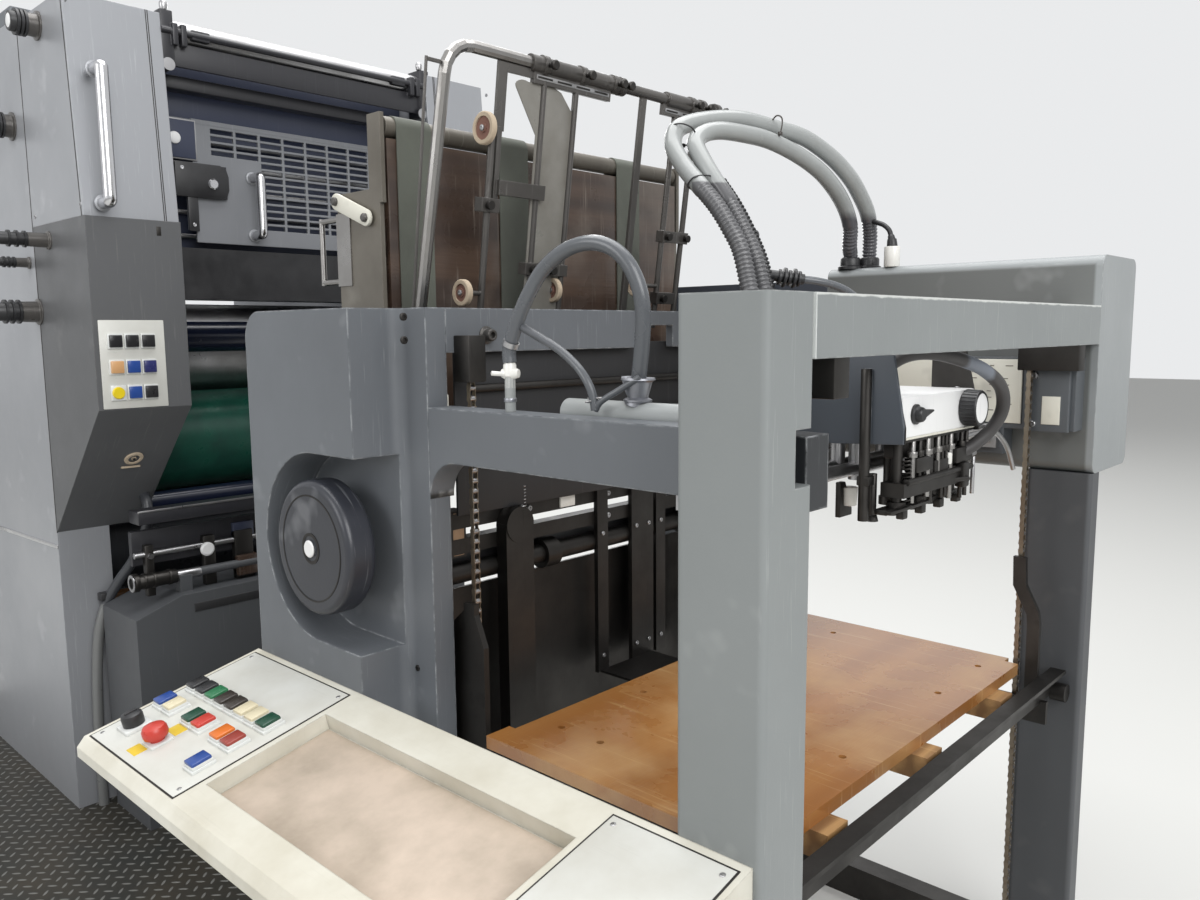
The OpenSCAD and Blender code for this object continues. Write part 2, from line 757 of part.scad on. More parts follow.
// Near face, height and holding bar of each hold-down wheel
wheel_seats = [[-348, 695, -322], [-378, 372, -322], [-126, 384, -98], [155, 403, 240]];

// Carries a piece drawn at the hinge onto the table
module on_table() {
    translate([table_x, 0, table_hinge_z]) children();
}

// Carries a piece drawn upright in front of the hinge onto the leaning hold-down frame
module on_hold() {
    translate([table_x, 0, table_hinge_z]) rotate([0, hold_lean, 0]) translate([hold_in, 0, 0]) children();
}

module feed_table() {
    color("saddlebrown") on_table() block([-roller_in - 7, -board_half_w, low_roller_z + roller_r + 6],
        [-4, board_half_w, roller_z - roller_r - 6]);
}

// Side plates, rollers and cross bars of the feed table
module table_frame() {
    plate_t = 10;
    in_y = table_half_w - plate_t;
    plate_top = 570;
    bar = 30;
    color("gray") on_table() union() {
        for (s = [-1, 1]) translate([0, s * (table_half_w - plate_t / 2), 0])
            along_y(-plate_t / 2, plate_t / 2) {
                polygon([[-table_d, 80], [-table_d + 20, 60], [-10, 60], [-10, plate_top],
                    [-table_d + 14, plate_top], [-table_d, plate_top - 14]]);
                translate([-46, plate_top - 30]) square([44, table_len - plate_top + 30]);
                polygon([[-26, 0], [90, 10], [90, 104], [-26, 104]]);
                circle(r = 26);
            }
        for (s = [0, 1]) mirror([0, s, 0]) block([2, -in_y - 1, 40], [30, -in_y + 33, foot_z]);
        bar_y(0, 0, table_shaft_r, -casting_in_y - hinge_in + 2, casting_in_y + hinge_in - 2);
        for (z = [low_roller_z, roller_z]) {
            bar_y(-roller_in, z, roller_r, -board_half_w, board_half_w);
            bar_y(-roller_in, z, roller_r / 2, -in_y - 1, in_y + 1);
        }
        for (z = [110, 520]) {
            block([-roller_in - 7 - 2 * bar, -in_y - 1, z], [-roller_in - 7 - bar, in_y + 1, z + bar]);
            for (y = [-260, 70, 400])
                block([-roller_in - 8 - bar, y - bar / 2, z], [-roller_in - 7, y + bar / 2, z + bar]);
        }
    }
}

module table_tapes() {
    color("darkgreen") on_table() for (y = tape_places)
        along_y(y - tape_w / 2, y + tape_w / 2) difference() {
            tape_loop(roller_r + tape_t);
            tape_loop(roller_r);
        }
}

// Outline of a tape round the two rollers
module tape_loop(r) {
    for (z = [low_roller_z, roller_z]) translate([-roller_in, z]) circle(r = r);
    translate([-roller_in - r, low_roller_z]) square([2 * r, roller_z - low_roller_z]);
}

module table_handle() {
    bar_r = 6;
    reach = 72;
    strip_t = 3;
    z0 = 384;
    z1 = 526;
    x = -table_d;
    y = -table_half_w + 5;
    color("silver") on_table() union() {
        for (z = [z0 + bar_r, z1 - bar_r]) bar_x(y, z, bar_r, x - reach, x);
        translate([x - reach, y, z0]) cylinder(r = bar_r, h = z1 - z0);
        block([x, -table_half_w - strip_t, z0 - 4], [x + 48, -table_half_w, z1 + 4]);
        block([x - strip_t, -table_half_w - strip_t, z0 - 4], [x, -table_half_w + 10, z1 + 4]);
    }
}

module hold_down_frame() {
    bar_r = 7;
    rod_y = -490;
    collar_r = 20;
    thick_r = 17;
    low_z = 300;
    z1 = hold_top_z;
    color("gray") on_hold() union() {
        bar_y(0, z1, hold_tube_r, tube_end_y, 440);
        bar_y(0, z1, thick_r, tube_end_y, 40);
        bar_y(0, z1, thick_r, 200, 335);
        for (y = [-197, -87, 14, 40, 294, 335, 396]) bar_y(0, z1, collar_r, y - 7, y + 7);
        block([-6, -225, z1 - 38], [6, 5, z1 - 10]);
        block([-6, 190, z1 - 36], [6, 325, z1 - 10]);
        block([-3, -318, 695], [3, -294, z1 - 20]);
        block([-3, -318, z1 - 30], [3, -220, z1 - 12]);
        for (y = [-192, -98, 240, 316]) translate([0, y, low_z]) cylinder(r = bar_r, h = z1 - low_z);
        translate([0, -322, low_z]) cylinder(r = bar_r, h = 406);
        block([-4, 112, low_z], [4, 130, z1]);
        block([-6, -305, 571], [14, -178, 601]);
        block([-12, -345, 535], [12, -299, 563]);
        block([-5, -312, 562], [5, -300, 703]);
        block([-12, -215, 415], [12, -90, 440]);
        block([-12, 232, 510], [12, 328, 538]);
        block([-12, 232, 360], [12, 300, 388]);
        for (w = wheel_seats) bar_y(0, w[1], 5, w[0] + wheel_w, w[2]);
        block([-2, rod_y, z1 - 45], [2, -457.3, z1 - 38]);
        translate([0, rod_y, 86]) cylinder(r = 3, h = z1 - 37 - 86);
        block([-8, rod_y - 4, 80], [8, -table_half_w, 96]);
    }
}

// Bent tube that carries the hold-down frame
module hold_down_tube() {
    bend_r = 60;
    leg_y = -447;
    z1 = hold_top_z;
    leg_path = [[-54, leg_y, 78], [-27, leg_y, 430], [0, leg_y, z1 - bend_r]];
    bend_path = [for (a = [18 : 18 : 90])
        [0, leg_y + bend_r - bend_r * cos(a), z1 - bend_r + bend_r * sin(a)]];
    color("silver") on_hold()
        hose(concat(leg_path, bend_path, [[0, tube_end_y, z1]]), [1, 0, 0], hold_tube_r);
}

module hold_down_wheels() {
    color("tan") on_hold() for (w = wheel_seats) 
        bar_y(0, w[1], w[1] > 500 ? 32 : 27, w[0], w[0] + wheel_w);
}

// Printing unit

// Outline of a side frame in X and Z
module unit_frame_outline() {
    polygon([[-unit_half_len, 0], [unit_half_len, 0], [unit_half_len, unit_h - 40],
        [unit_half_len - 40, unit_h], [-unit_half_len + 260, unit_h], [-unit_half_len, unit_h - 420]]);
}

module journal_bores() {
    for (c = cylinder_centres)
        bar_y(c.x, c.y, journal_r + shaft_play, -unit_in_y - 60, unit_in_y + 60);
}

cylinder_centres = [[blanket_x, blanket_z],
    [blanket_x + nip_d * cos(plate_a), blanket_z + nip_d * sin(plate_a)],
    [blanket_x + nip_d * cos(impression_a), blanket_z + nip_d * sin(impression_a)]];

module near_side_frame() {
    color("silver") difference() {
        along_y(-frame_half_w, -unit_in_y) unit_frame_outline();
        journal_bores();
    }
}

module far_side_frame() {
    color("slategray") difference() {
        along_y(unit_in_y, frame_half_w) unit_frame_outline();
        journal_bores();
    }
}

module control_cover() {
    color("dimgray") along_y(-frame_half_w, -cover_in_y)
        polygon([[unit_half_len, slope_low_z], [cover_x, slope_high_z], [cover_x, cover_seam_z],
            [unit_half_len, cover_seam_z]]);
}

module near_control_cover() {
    control_cover();
}

module far_control_cover() {
    drive_side() control_cover();
}

module upper_cover() {
    lean = 40;
    top_z = unit_h - 10;
    handle_r = 9;
    handle_y = -638;
    handle_z0 = cover_seam_z + 24;
    handle_z1 = cover_seam_z + 374;
    handle_x = cover_x + 52;
    color("silver") difference() {
        union() {
            along_y(-frame_half_w, -cover_in_y)
                polygon([[unit_half_len, cover_seam_z], [cover_x - 10, cover_seam_z],
                    [cover_x - 10 - lean, top_z], [unit_half_len, top_z]]);
            for (z = [handle_z0 + handle_r, handle_z1 - handle_r])
                bar_x(handle_y, z, handle_r, cover_x - 60, handle_x);
            translate([handle_x, handle_y, handle_z0]) cylinder(r = handle_r, h = handle_z1 - handle_z0);
        }
        bar_y(guard_x, guard_hinge_z, guard_pin_r + shaft_play, -cover_in_y - 10, 0);
    }
}

module near_upper_cover() {
    upper_cover();
}

module far_upper_cover() {
    drive_side() upper_cover();
}

module unit_buttons() {
    plate_t = 5;
    z0 = slope_high_z + 3;
    color("ivory") union() {
        block([cover_x, -frame_half_w + 12, z0], [cover_x + plate_t, -frame_half_w + 180, z0 + 233]);
        for (i = [0 : 2], j = [0 : 2])
            block([cover_x + plate_t, -frame_half_w + 34 + i * 42, z0 + 27 + j * 68],
                [cover_x + plate_t + 10, -frame_half_w + 64 + i * 42, z0 + 57 + j * 68]);
    }
}

module unit_base() {
    color("dimgray") block([-unit_half_len, -unit_in_y, 0], [unit_half_len - 60, unit_in_y, 320]);
}

// A cylinder with its two journals
module press_cylinder(c) {
    end_gap = 6;
    union() {
        bar_y(c.x, c.y, cylinder_r, -unit_in_y + end_gap, unit_in_y - end_gap);
        bar_y(c.x, c.y, journal_r, -unit_in_y - 58, unit_in_y + 58);
    }
}

module blanket_cylinder() {
    color("seagreen") press_cylinder(cylinder_centres[0]);
}

module plate_cylinder() {
    color("silver") press_cylinder(cylinder_centres[1]);
}

module impression_cylinder() {
    color("silver") press_cylinder(cylinder_centres[2]);
}

module ink_rollers() {
    rows = [[120, 680, 55], [250, 620, 60], [390, 660, 50], [180, 500, 65], [330, 490, 60],
        [470, 540, 48], [260, 350, 70], [420, 370, 55], [560, 880, 50], [600, 1409, 36]];
    color("black") for (r = rows) bar_y(r.x, unit_h - r.y, r.z, -unit_in_y, unit_in_y);
}

module top_cover() {
    color("slategray") block([-unit_half_len + 260, -frame_half_w, unit_h],
        [unit_half_len - 40, frame_half_w, unit_h + 40]);
}

module tie_tube() {
    color("gainsboro") bar_y(cover_x - 90, tie_z, tie_r, -cover_in_y, cover_in_y);
}

module grille_guard() {
    half_w = cover_in_y - 115;
    z0 = guard_hinge_z - 342;
    z1 = guard_hinge_z + 10;
    sheet_t = 8;
    slot_w = 70;
    slot_h = 14;
    step_y = 78;
    step_z = 20.6;
    rows = 14;
    columns = 7;
    edge = slot_w + (columns - 1) * step_y;
    handle_y = -147;
    handle_r = 8;
    handle_x = guard_x + 62;
    color("lightslategray") difference() {
        union() {
            block([guard_x, -half_w, z0], [guard_x + sheet_t, half_w, z1]);
            bar_y(guard_x, guard_hinge_z, guard_pin_r, -cover_in_y - 8, cover_in_y + 8);
            for (z = [z0 + 22 + handle_r, z0 + 209 - handle_r])
                bar_x(handle_y, z, handle_r, guard_x, handle_x);
            translate([handle_x, handle_y, z0 + 22]) cylinder(r = handle_r, h = 187);
            block([guard_x, -383, z0 + 129], [guard_x + sheet_t + 12, -232, z0 + 223]);
            block([guard_x, -347, z0 + 35], [guard_x + sheet_t + 10, -327, z0 + 130]);
        }
        for (i = [0 : columns - 1], j = [0 : rows - 1])
            if (i > 1 || j < 4)
                translate([guard_x - 1, -edge / 2 + i * step_y, z1 - 21 - slot_h - j * step_z])
                    cube([sheet_t + 2, slot_w, slot_h]);
    }
}

module guard_beam() {
    color("black") block([cover_x - 230, -cover_in_y, guard_hinge_z - 509],
        [cover_x - 130, cover_in_y, guard_hinge_z - 361]);
}

module infeed_box() {
    half_w = frame_half_w - 93;
    shaft_z = 780;
    shaft_r = 13;
    seat = 18;
    color("dimgray") union() {
        along_x(unit_half_len + 50, cover_x - 100)
            polygon([[-half_w, footboard_h], [half_w, footboard_h], [half_w, 700], [half_w - 134, 748],
                [134 - half_w, 748], [-half_w, 700]]);
        bar_y(cover_x - 150, shaft_z + seat, shaft_r, -half_w + 16, half_w - 16);
        for (y = [-430, -150, 150, 430])
            block([cover_x - 150 - seat, y - seat, 747], [cover_x - 150 + seat, y + seat, shaft_z + seat]);
    }
}

module footboard() {
    color("darkslategray") linear_extrude(height = footboard_h)
        polygon([[-unit_half_len, -frame_half_w - footboard_reach], [front_x, -frame_half_w - footboard_reach],
            [front_x, frame_half_w], [unit_half_len, frame_half_w], [unit_half_len, -frame_half_w],
            [-unit_half_len, -frame_half_w]]);
}

// Delivery

// Outline of a delivery side frame in X and Z, open over the delivery pile
module delivery_outline() {
    x1 = -unit_half_len;
    x0 = delivery_end_x;
    difference() {
        polygon([[x1, 0], [x1, 1500], [x1 - 500, delivery_h], [x0 + 180, delivery_h],
            [x0, delivery_h - 180], [x0, 0]]);
        polygon([[x0 + 160, 100], [x0 + 160, 1150], [x0 + 1000, 1150], [x0 + 1000, 100]]);
    }
}

module delivery_near_frame() {
    color("slategray") along_y(-frame_half_w + 30, -frame_half_w + 30 + delivery_frame_t)
        delivery_outline();
}

module delivery_far_frame() {
    color("slategray") along_y(frame_half_w - 30 - delivery_frame_t, frame_half_w - 30)
        delivery_outline();
}

module delivery_hood() {
    x1 = -unit_half_len;
    x0 = delivery_end_x;
    in_y = frame_half_w - 30 - delivery_frame_t;
    color("slategray") along_y(-in_y, in_y) polygon([[x1, 1440], [x1, 1500], [x1 - 500, delivery_h],
        [x0 + 180, delivery_h], [x0, delivery_h - 180], [x0, 1250], [x0 + 40, 1250],
        [x0 + 40, delivery_h - 200], [x0 + 200, delivery_h - 40], [x1 - 490, delivery_h - 40]]);
}

module delivery_grippers() {
    bar_r = 16;
    step = delivery_len * 0.16;
    color("gray") for (i = [0 : 4]) bar_y(-unit_half_len - 300 - i * step, delivery_h - 200, bar_r,
        -delivery_in_y, delivery_in_y);
}

module delivery_pile() {
    half_w = delivery_in_y - 85;
    x0 = delivery_end_x + 180;
    color("peru") {
        block([x0, -half_w, 100], [x0 + 750, half_w, 130]);
        for (x = [x0 + 80, x0 + 610]) block([x, -delivery_in_y, 30], [x + 60, delivery_in_y, 101]);
    }
}

// Hoses

function unit(v) = v / norm(v);

// Corner points of a hose's rings, one ring at each point of its path; flat is the direction
// square to the plane in which the path lies
function hose_points(path, flat, r) = let (last = len(path) - 1)
    [for (i = [0 : last]) let (t = unit(path[min(i + 1, last)] - path[max(i - 1, 0)]),
        u = unit(cross(t, flat)), v = cross(u, t))
        for (j = [0 : hose_sides - 1]) let (a = 360 * j / hose_sides)
            path[i] + r * cos(a) * u + r * sin(a) * v];

function hose_faces(last) = [[for (j = [hose_sides - 1 : -1 : 0]) j],
    [for (j = [0 : hose_sides - 1]) last * hose_sides + j],
    for (i = [0 : last - 1], j = [0 : hose_sides - 1], k = [0, 1])
        let (a = i * hose_sides + j, b = i * hose_sides + (j + 1) % hose_sides)
            k == 0 ? [a, b, b + hose_sides] : [a, b + hose_sides, a + hose_sides]];

// A hose swept along a path
module hose(path, flat, r) {
    polyhedron(points = hose_points(path, flat, r), faces = hose_faces(len(path) - 1));
}

module bundle_hose_a() {
    color("gray") hose(bundle_a_path, bundle_flat, bundle_r);
}

module bundle_hose_b() {
    color("gray") hose(bundle_b_path, bundle_flat, bundle_r);
}

module loop_hose() {
    color("gray") hose(loop_path, [0.18, 1, 0], loop_r);
}

module head_hose() {
    color("dimgray") hose(head_path, [1, -0.2, 0], head_hose_r);
}

module unit_hose() {
    color("dimgray") hose(unit_path, [0.8, -0.6, 0], unit_hose_r);
}

near_column();
far_column();
rear_crossbar();
near_side_rail();
far_side_rail();
gear_housing();
far_front_column();
front_cross_plate();
feeder_sills();
drive_housing();
handwheel();
console_tray();
console_brackets();
console_buttons();
pile_board();
pile_skids();
pile_carriage();
hoist_chains();
head_rods();
suction_head();
suckers();
setting_knob();
scale_plate();
air_pipe();
guide_bars();
feed_table();
table_frame();
table_tapes();
table_handle();
hold_down_frame();
hold_down_tube();
hold_down_wheels();
near_side_frame();
far_side_frame();
near_control_cover();
far_control_cover();
near_upper_cover();
far_upper_cover();
unit_buttons();
unit_base();
impression_cylinder();
blanket_cylinder();
plate_cylinder();
ink_rollers();
top_cover();
tie_tube();
grille_guard();
guard_beam();
infeed_box();
footboard();
delivery_near_frame();
delivery_far_frame();
delivery_hood();
delivery_grippers();
delivery_pile();
bundle_hose_a();
bundle_hose_b();
loop_hose();
head_hose();
unit_hose();
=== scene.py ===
"""Sheet-fed offset printing press: finishes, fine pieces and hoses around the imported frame.

X runs from the delivery to the feeder, Y from the operator side to the drive side, and Z is up.
Pieces and hoses are drawn in millimetres; finishes, the camera and the lamps are in metres.
"""

import json
import logging
import math
from dataclasses import dataclass
from enum import Enum
from itertools import product

import bmesh
import bpy
from mathutils import Matrix, Vector

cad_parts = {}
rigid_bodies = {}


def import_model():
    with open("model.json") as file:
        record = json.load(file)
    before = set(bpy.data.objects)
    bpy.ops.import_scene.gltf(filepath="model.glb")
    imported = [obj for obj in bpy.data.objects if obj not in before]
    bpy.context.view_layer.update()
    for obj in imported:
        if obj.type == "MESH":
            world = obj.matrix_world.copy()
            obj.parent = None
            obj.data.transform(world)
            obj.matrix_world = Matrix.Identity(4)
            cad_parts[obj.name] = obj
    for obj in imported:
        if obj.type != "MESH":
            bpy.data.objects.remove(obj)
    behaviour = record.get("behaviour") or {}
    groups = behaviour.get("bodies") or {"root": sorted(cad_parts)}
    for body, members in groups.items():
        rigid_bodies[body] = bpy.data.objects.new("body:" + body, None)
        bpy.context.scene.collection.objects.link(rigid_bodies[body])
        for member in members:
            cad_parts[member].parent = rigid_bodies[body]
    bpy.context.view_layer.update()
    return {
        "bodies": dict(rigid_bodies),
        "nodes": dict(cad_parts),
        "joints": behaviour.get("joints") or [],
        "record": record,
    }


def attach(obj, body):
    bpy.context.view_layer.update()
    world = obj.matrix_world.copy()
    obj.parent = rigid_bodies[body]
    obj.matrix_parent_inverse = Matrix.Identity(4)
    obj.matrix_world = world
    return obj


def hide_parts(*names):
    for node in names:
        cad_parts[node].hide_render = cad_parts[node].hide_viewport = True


LOG = logging.getLogger("press")
MM = 0.001  # metres in a millimetre
WELD = 0.001  # corners that are closer than this, in millimetres, become one
SIDES = (-1, 1)  # the operator side and the drive side
SHARP_ANGLE = math.radians(38)
FRONT, BACK, NEAR, FAR, UP = (1, 0, 0), (-1, 0, 0), (0, -1, 0), (0, 1, 0), (0, 0, 1)
Point = tuple[float, float, float]
Spot = tuple[float, float]
Colour = tuple[float, float, float]
Socket = bpy.types.NodeSocket


def linear(colour: Colour) -> tuple[float, ...]:
    """Turns a display colour into a linear one.

    Args:
        colour: Red, green and blue from 0 to 255.

    Returns:
        The linear values and full opacity.
    """
    shares = [part / 255 for part in colour]
    values = [share / 12.92 if share <= 0.04045 else ((share + 0.055) / 1.055) ** 2.4 for share in shares]
    return (*values, 1)


class Graph:
    """A node tree with short ways to add and join its nodes."""

    def __init__(self, tree: bpy.types.NodeTree) -> None:
        """Keeps the tree that the calls work on."""
        self.tree = tree

    def add(self, kind: str, inputs: dict | None = None, **settings: object) -> bpy.types.Node:
        """Adds a node, sets its options and fills or joins its inputs.

        Args:
            kind: The node's type without its ShaderNode prefix.
            inputs: Socket name or index to a value or to the socket that feeds it.
            settings: Options of the node itself.

        Returns:
            The new node.
        """
        node = self.tree.nodes.new(kind if kind.startswith("Node") else "ShaderNode" + kind)
        for name, value in settings.items():
            setattr(node, name, value)
        for name, value in (inputs or {}).items():
            self.fill(node.inputs[name], value)
        return node

    def fill(self, place: Socket, value: object) -> None:
        """Joins a source to an input, or sets the input's value.

        Args:
            place: The input.
            value: A socket or a plain value.
        """
        if isinstance(value, Socket):
            self.tree.links.new(value, place)
        else:
            place.default_value = value

    def fade(self, factor: Socket, low: float, high: float) -> Socket:
        """Maps low..high of a value to 0..1, held at both ends."""
        return self.add("MapRange", {"Value": factor, "From Min": low, "From Max": high}).outputs["Result"]

    def mix(self, factor: object, first: object, second: object) -> Socket:
        """Mixes two colours.

        Args:
            factor: The share of the second, a number or a socket.
            first: A display colour or a socket.
            second: A display colour or a socket.

        Returns:
            The mixed colour.
        """
        node = self.add("Mix", data_type="RGBA", clamp_result=True)
        self.fill(node.inputs[0], factor)
        for place, value in ((6, first), (7, second)):
            self.fill(node.inputs[place], value if isinstance(value, Socket) else linear(value))
        return node.outputs[2]

    def math(self, kind: str, first: object, second: object = 0.0, third: object = 0.0) -> Socket:
        """Works out one value from two or three, each a number or a socket."""
        return self.add("Math", {0: first, 1: second, 2: third}, operation=kind).outputs[0]

    def vector(self, kind: str, *vectors: Socket) -> bpy.types.Node:
        """Works on one or two vectors and gives the node."""
        return self.add("VectorMath", dict(enumerate(vectors)), operation=kind)

    def noise(self, place: Socket, scale: object, detail: float, **more: float) -> Socket:
        """Adds noise.

        Args:
            place: The coordinates.
            scale: How fine it is, a number or a socket.
            detail: Its octaves.
            more: Other inputs, such as Roughness.

        Returns:
            The noise, from 0 to 1.
        """
        inputs = {"Vector": place, "Scale": scale, "Detail": detail, **more}
        return self.add("TexNoise", inputs).outputs["Fac"]


class Effect(Enum):
    """The shader groups that several finishes share."""

    MOTTLE = "mottle"
    EDGE = "edge wear"
    SCRATCH = "scratches"
    GRAIN = "wood grain"
    WEAVE = "weave"
    ZONE = "painted zone"


class Group(Graph):
    """A shader node group in the making, with named sockets."""

    def __init__(self, effect: Effect, *outputs: str, **inputs: float | Point) -> None:
        """Starts the group.

        Args:
            effect: The effect, which names the group.
            outputs: Output names; one that ends in Normal is a vector.
            inputs: Input names with their usual values, three numbers for a vector.
        """
        super().__init__(bpy.data.node_groups.new(effect.value, "ShaderNodeTree"))
        self.socket("Vector", "INPUT", True)
        for name, value in inputs.items():
            self.socket(name, "INPUT", isinstance(value, tuple)).default_value = value
        for name in outputs:
            self.socket(name, "OUTPUT", name.endswith("Normal"))
        self.given, self.result = self.add("NodeGroupInput").outputs, self.add("NodeGroupOutput").inputs
        self.place = self.given["Vector"]

    def socket(self, name: str, way: str, vector: bool) -> bpy.types.NodeTreeInterfaceSocket:
        """Names one of its inputs or outputs, a vector or a number."""
        return self.tree.interface.new_socket(name, in_out=way,
                                              socket_type="NodeSocketVector" if vector else "NodeSocketFloat")

    def give(self, **sources: Socket) -> bpy.types.NodeTree:
        """Joins the outputs.

        Args:
            sources: What feeds each output, by its name with underscores.

        Returns:
            The finished tree.
        """
        for name, source in sources.items():
            self.tree.links.new(source, self.result[name.replace("_", " ")])
        return self.tree


def mottle_group() -> bpy.types.NodeTree:
    """Builds soft cloudy unevenness with a fine hammered height."""
    group = Group(Effect.MOTTLE, "Cloud", "Height", Scale=2.0, Fine=160.0)
    cloud = group.noise(group.place, group.given["Scale"], 5.0, Roughness=0.6)
    return group.give(Cloud=group.fade(cloud, 0.3, 0.7),
                      Height=group.noise(group.place, group.given["Fine"], 2.0))


def edge_group() -> bpy.types.NodeTree:
    """Builds a mask of rubbed edges, broken up by noise, and the normal of a rounded edge."""
    group = Group(Effect.EDGE, "Mask", "Soft Normal", Radius=0.004, Breakup=40.0, Amount=0.5)
    soft = group.add("Bevel", {"Radius": group.given["Radius"]}, samples=4).outputs["Normal"]
    turn = group.vector("DOT_PRODUCT", soft, group.add("NewGeometry").outputs["Normal"])
    rough = group.fade(group.noise(group.place, group.given["Breakup"], 4.0), 0.42, 0.62)
    broken = group.math("MULTIPLY", group.fade(turn.outputs["Value"], 0.98, 0.78), rough)
    return group.give(Mask=group.math("MULTIPLY", broken, group.given["Amount"]), Soft_Normal=soft)


def zone_group() -> bpy.types.NodeTree:
    """Builds the mask of a box in space, whose border can be ragged."""
    group = Group(Effect.ZONE, "Mask", Low=(0.0, 0.0, 0.0), High=(1.0, 1.0, 1.0), Soft=0.001, Ragged=0.0,
                  Breakup=30.0)
    under = group.vector("SUBTRACT", group.given["Low"], group.place).outputs[0]
    over = group.vector("SUBTRACT", group.place, group.given["High"]).outputs[0]
    sides = group.add("SeparateXYZ", {0: group.vector("MAXIMUM", under, over).outputs[0]}).outputs
    far = group.math("MAXIMUM", group.math("MAXIMUM", sides[0], sides[1]), sides[2])
    noise = group.noise(group.place, group.given["Breakup"], 4.0)
    wave = group.math("MULTIPLY", group.math("SUBTRACT", noise, 0.5), group.given["Ragged"])
    edge = group.math("DIVIDE", group.math("ADD", far, wave), group.given["Soft"])
    return group.give(Mask=group.fade(edge, 0.0, -1.0))


def scratch_group() -> bpy.types.NodeTree:
    """Builds thin streaks that run in two directions."""
    group = Group(Effect.SCRATCH, "Mask", Scale=6.0, Amount=0.5)
    masks = []
    for turn, stretch in ((0.35, 30.0), (-0.6, 22.0)):
        place = group.add("Mapping", {"Vector": group.place, "Rotation": (turn, turn * 2, turn),
                                      "Scale": (1.0, stretch, 1.0)}).outputs["Vector"]
        masks.append(group.fade(group.noise(place, group.given["Scale"], 3.0, Roughness=0.65), 0.63, 0.72))
    return group.give(Mask=group.math("MULTIPLY", group.math("MAXIMUM", *masks), group.given["Amount"]))


def grain_group() -> bpy.types.NodeTree:
    """Builds long wood figure along Y with fine pores."""
    group = Group(Effect.GRAIN, "Figure", "Pores", Scale=1.0)
    place, fine = (group.add("Mapping", {"Vector": group.place, "Scale": (across, along, across)}).outputs[0]
                   for across, along in ((9.0, 0.7), (260.0, 9.0)))
    scale = group.given["Scale"]
    bend = group.noise(place, scale, 4.0, Roughness=0.55, Distortion=0.8)
    rings = group.add("TexWave", {"Vector": place, "Scale": scale, "Distortion": 9.0, "Detail": 3.0,
                                  "Detail Scale": 1.2}).outputs["Fac"]
    return group.give(Figure=group.math("MULTIPLY", group.math("ADD", bend, rings), 0.5),
                      Pores=group.fade(group.noise(fine, 1.0, 2.0), 0.35, 0.6))


def weave_group() -> bpy.types.NodeTree:
    """Builds a plain weave from two crossing waves."""
    group = Group(Effect.WEAVE, "Height", Threads=300.0)
    waves = [group.add("TexWave", {"Vector": group.place, "Scale": group.given["Threads"]},
                       bands_direction=direction).outputs["Fac"] for direction in ("Y", "Z")]
    return group.give(Height=group.math("MAXIMUM", *waves))


GROUP_MAKERS = {
    Effect.MOTTLE: mottle_group, Effect.EDGE: edge_group, Effect.SCRATCH: scratch_group,
    Effect.GRAIN: grain_group, Effect.WEAVE: weave_group, Effect.ZONE: zone_group,
}


@dataclass(frozen=True)
class Zone:
    """A box inside which a finish has another colour, such as bare metal, another paint, a painted highlight
    or a face darkened as painted shade.
    """

    low: Point
    high: Point
    colour: Colour
    share: float = 1.0
    soft: float = 0.001
    ragged: float = 0.0


class Coat(Graph):
    """A material in the making: one Principled shader and what feeds it."""

    def __init__(self, name: str) -> None:
        """Starts an empty material with its shader and its Object coordinates.

        Args:
            name: What the finish is called.
        """
        self.material = bpy.data.materials.new(f"{name}_finish")
        self.material.use_nodes = True
        super().__init__(self.material.node_tree)
        self.shader = self.tree.nodes["Principled BSDF"]
        self.place = self.add("TexCoord").outputs["Object"]

    def effect(self, effect: Effect, **values: object) -> bpy.types.NodeOutputs:
        """Places a shared effect in this material.

        Args:
            effect: Which effect.
            values: Its own values, by input name.

        Returns:
            The outputs of the group node.
        """
        node = self.add("Group", node_tree=bpy.data.node_groups.get(effect.value) or GROUP_MAKERS[effect]())
        for name, value in {"vector": self.place, **values}.items():
            self.fill(node.inputs[name.capitalize()], value)
        return node.outputs

    def plain(self, **values: float) -> None:
        """Sets what is the same all over, by the shader's socket names with underscores."""
        for name, value in values.items():
            self.shader.inputs[name.replace("_", " ").title()].default_value = value

    def feed(self, socket: str, source: Socket) -> None:
        """Joins a source to one of the shader's sockets."""
        self.tree.links.new(source, self.shader.inputs[socket])

    def gloss(self, cloud: Socket, spread: float, least: float) -> None:
        """Feeds a roughness that grows by a spread with the clouds."""
        self.feed("Roughness", self.math("MULTIPLY_ADD", cloud, spread, least))

    def bump(self, height: Socket, strength: float, distance: float, normal: Socket | None = None) -> None:
        """Adds a bump.

        Args:
            height: The height.
            strength: From 0 to 1.
            distance: The height of 1, in metres.
            normal: The normal that it starts from, such as a rounded edge's.
        """
        start = {"Normal": normal} if normal else {}
        bump = self.add("Bump", {"Height": height, "Strength": strength, "Distance": distance, **start})
        self.feed("Normal", bump.outputs["Normal"])

    def clouded(self, cloud: Socket, amount: float, colour: Colour, soiled: Colour,
                zones: tuple[Zone, ...] = ()) -> Socket:
        """Soils a colour in clouds and lays other colours over it inside boxes.

        Args:
            cloud: The clouds.
            amount: How much they show.
            colour: The clean colour.
            soiled: The soiled colour.
            zones: The boxes with their colours, the last on top.

        Returns:
            The colour.
        """
        mixed = self.mix(self.math("MULTIPLY", cloud, amount), colour, soiled)
        for zone in zones:
            box = self.effect(Effect.ZONE, low=zone.low, high=zone.high, soft=zone.soft, ragged=zone.ragged)
            mixed = self.mix(self.math("MULTIPLY", box["Mask"], zone.share), mixed, zone.colour)
        return mixed


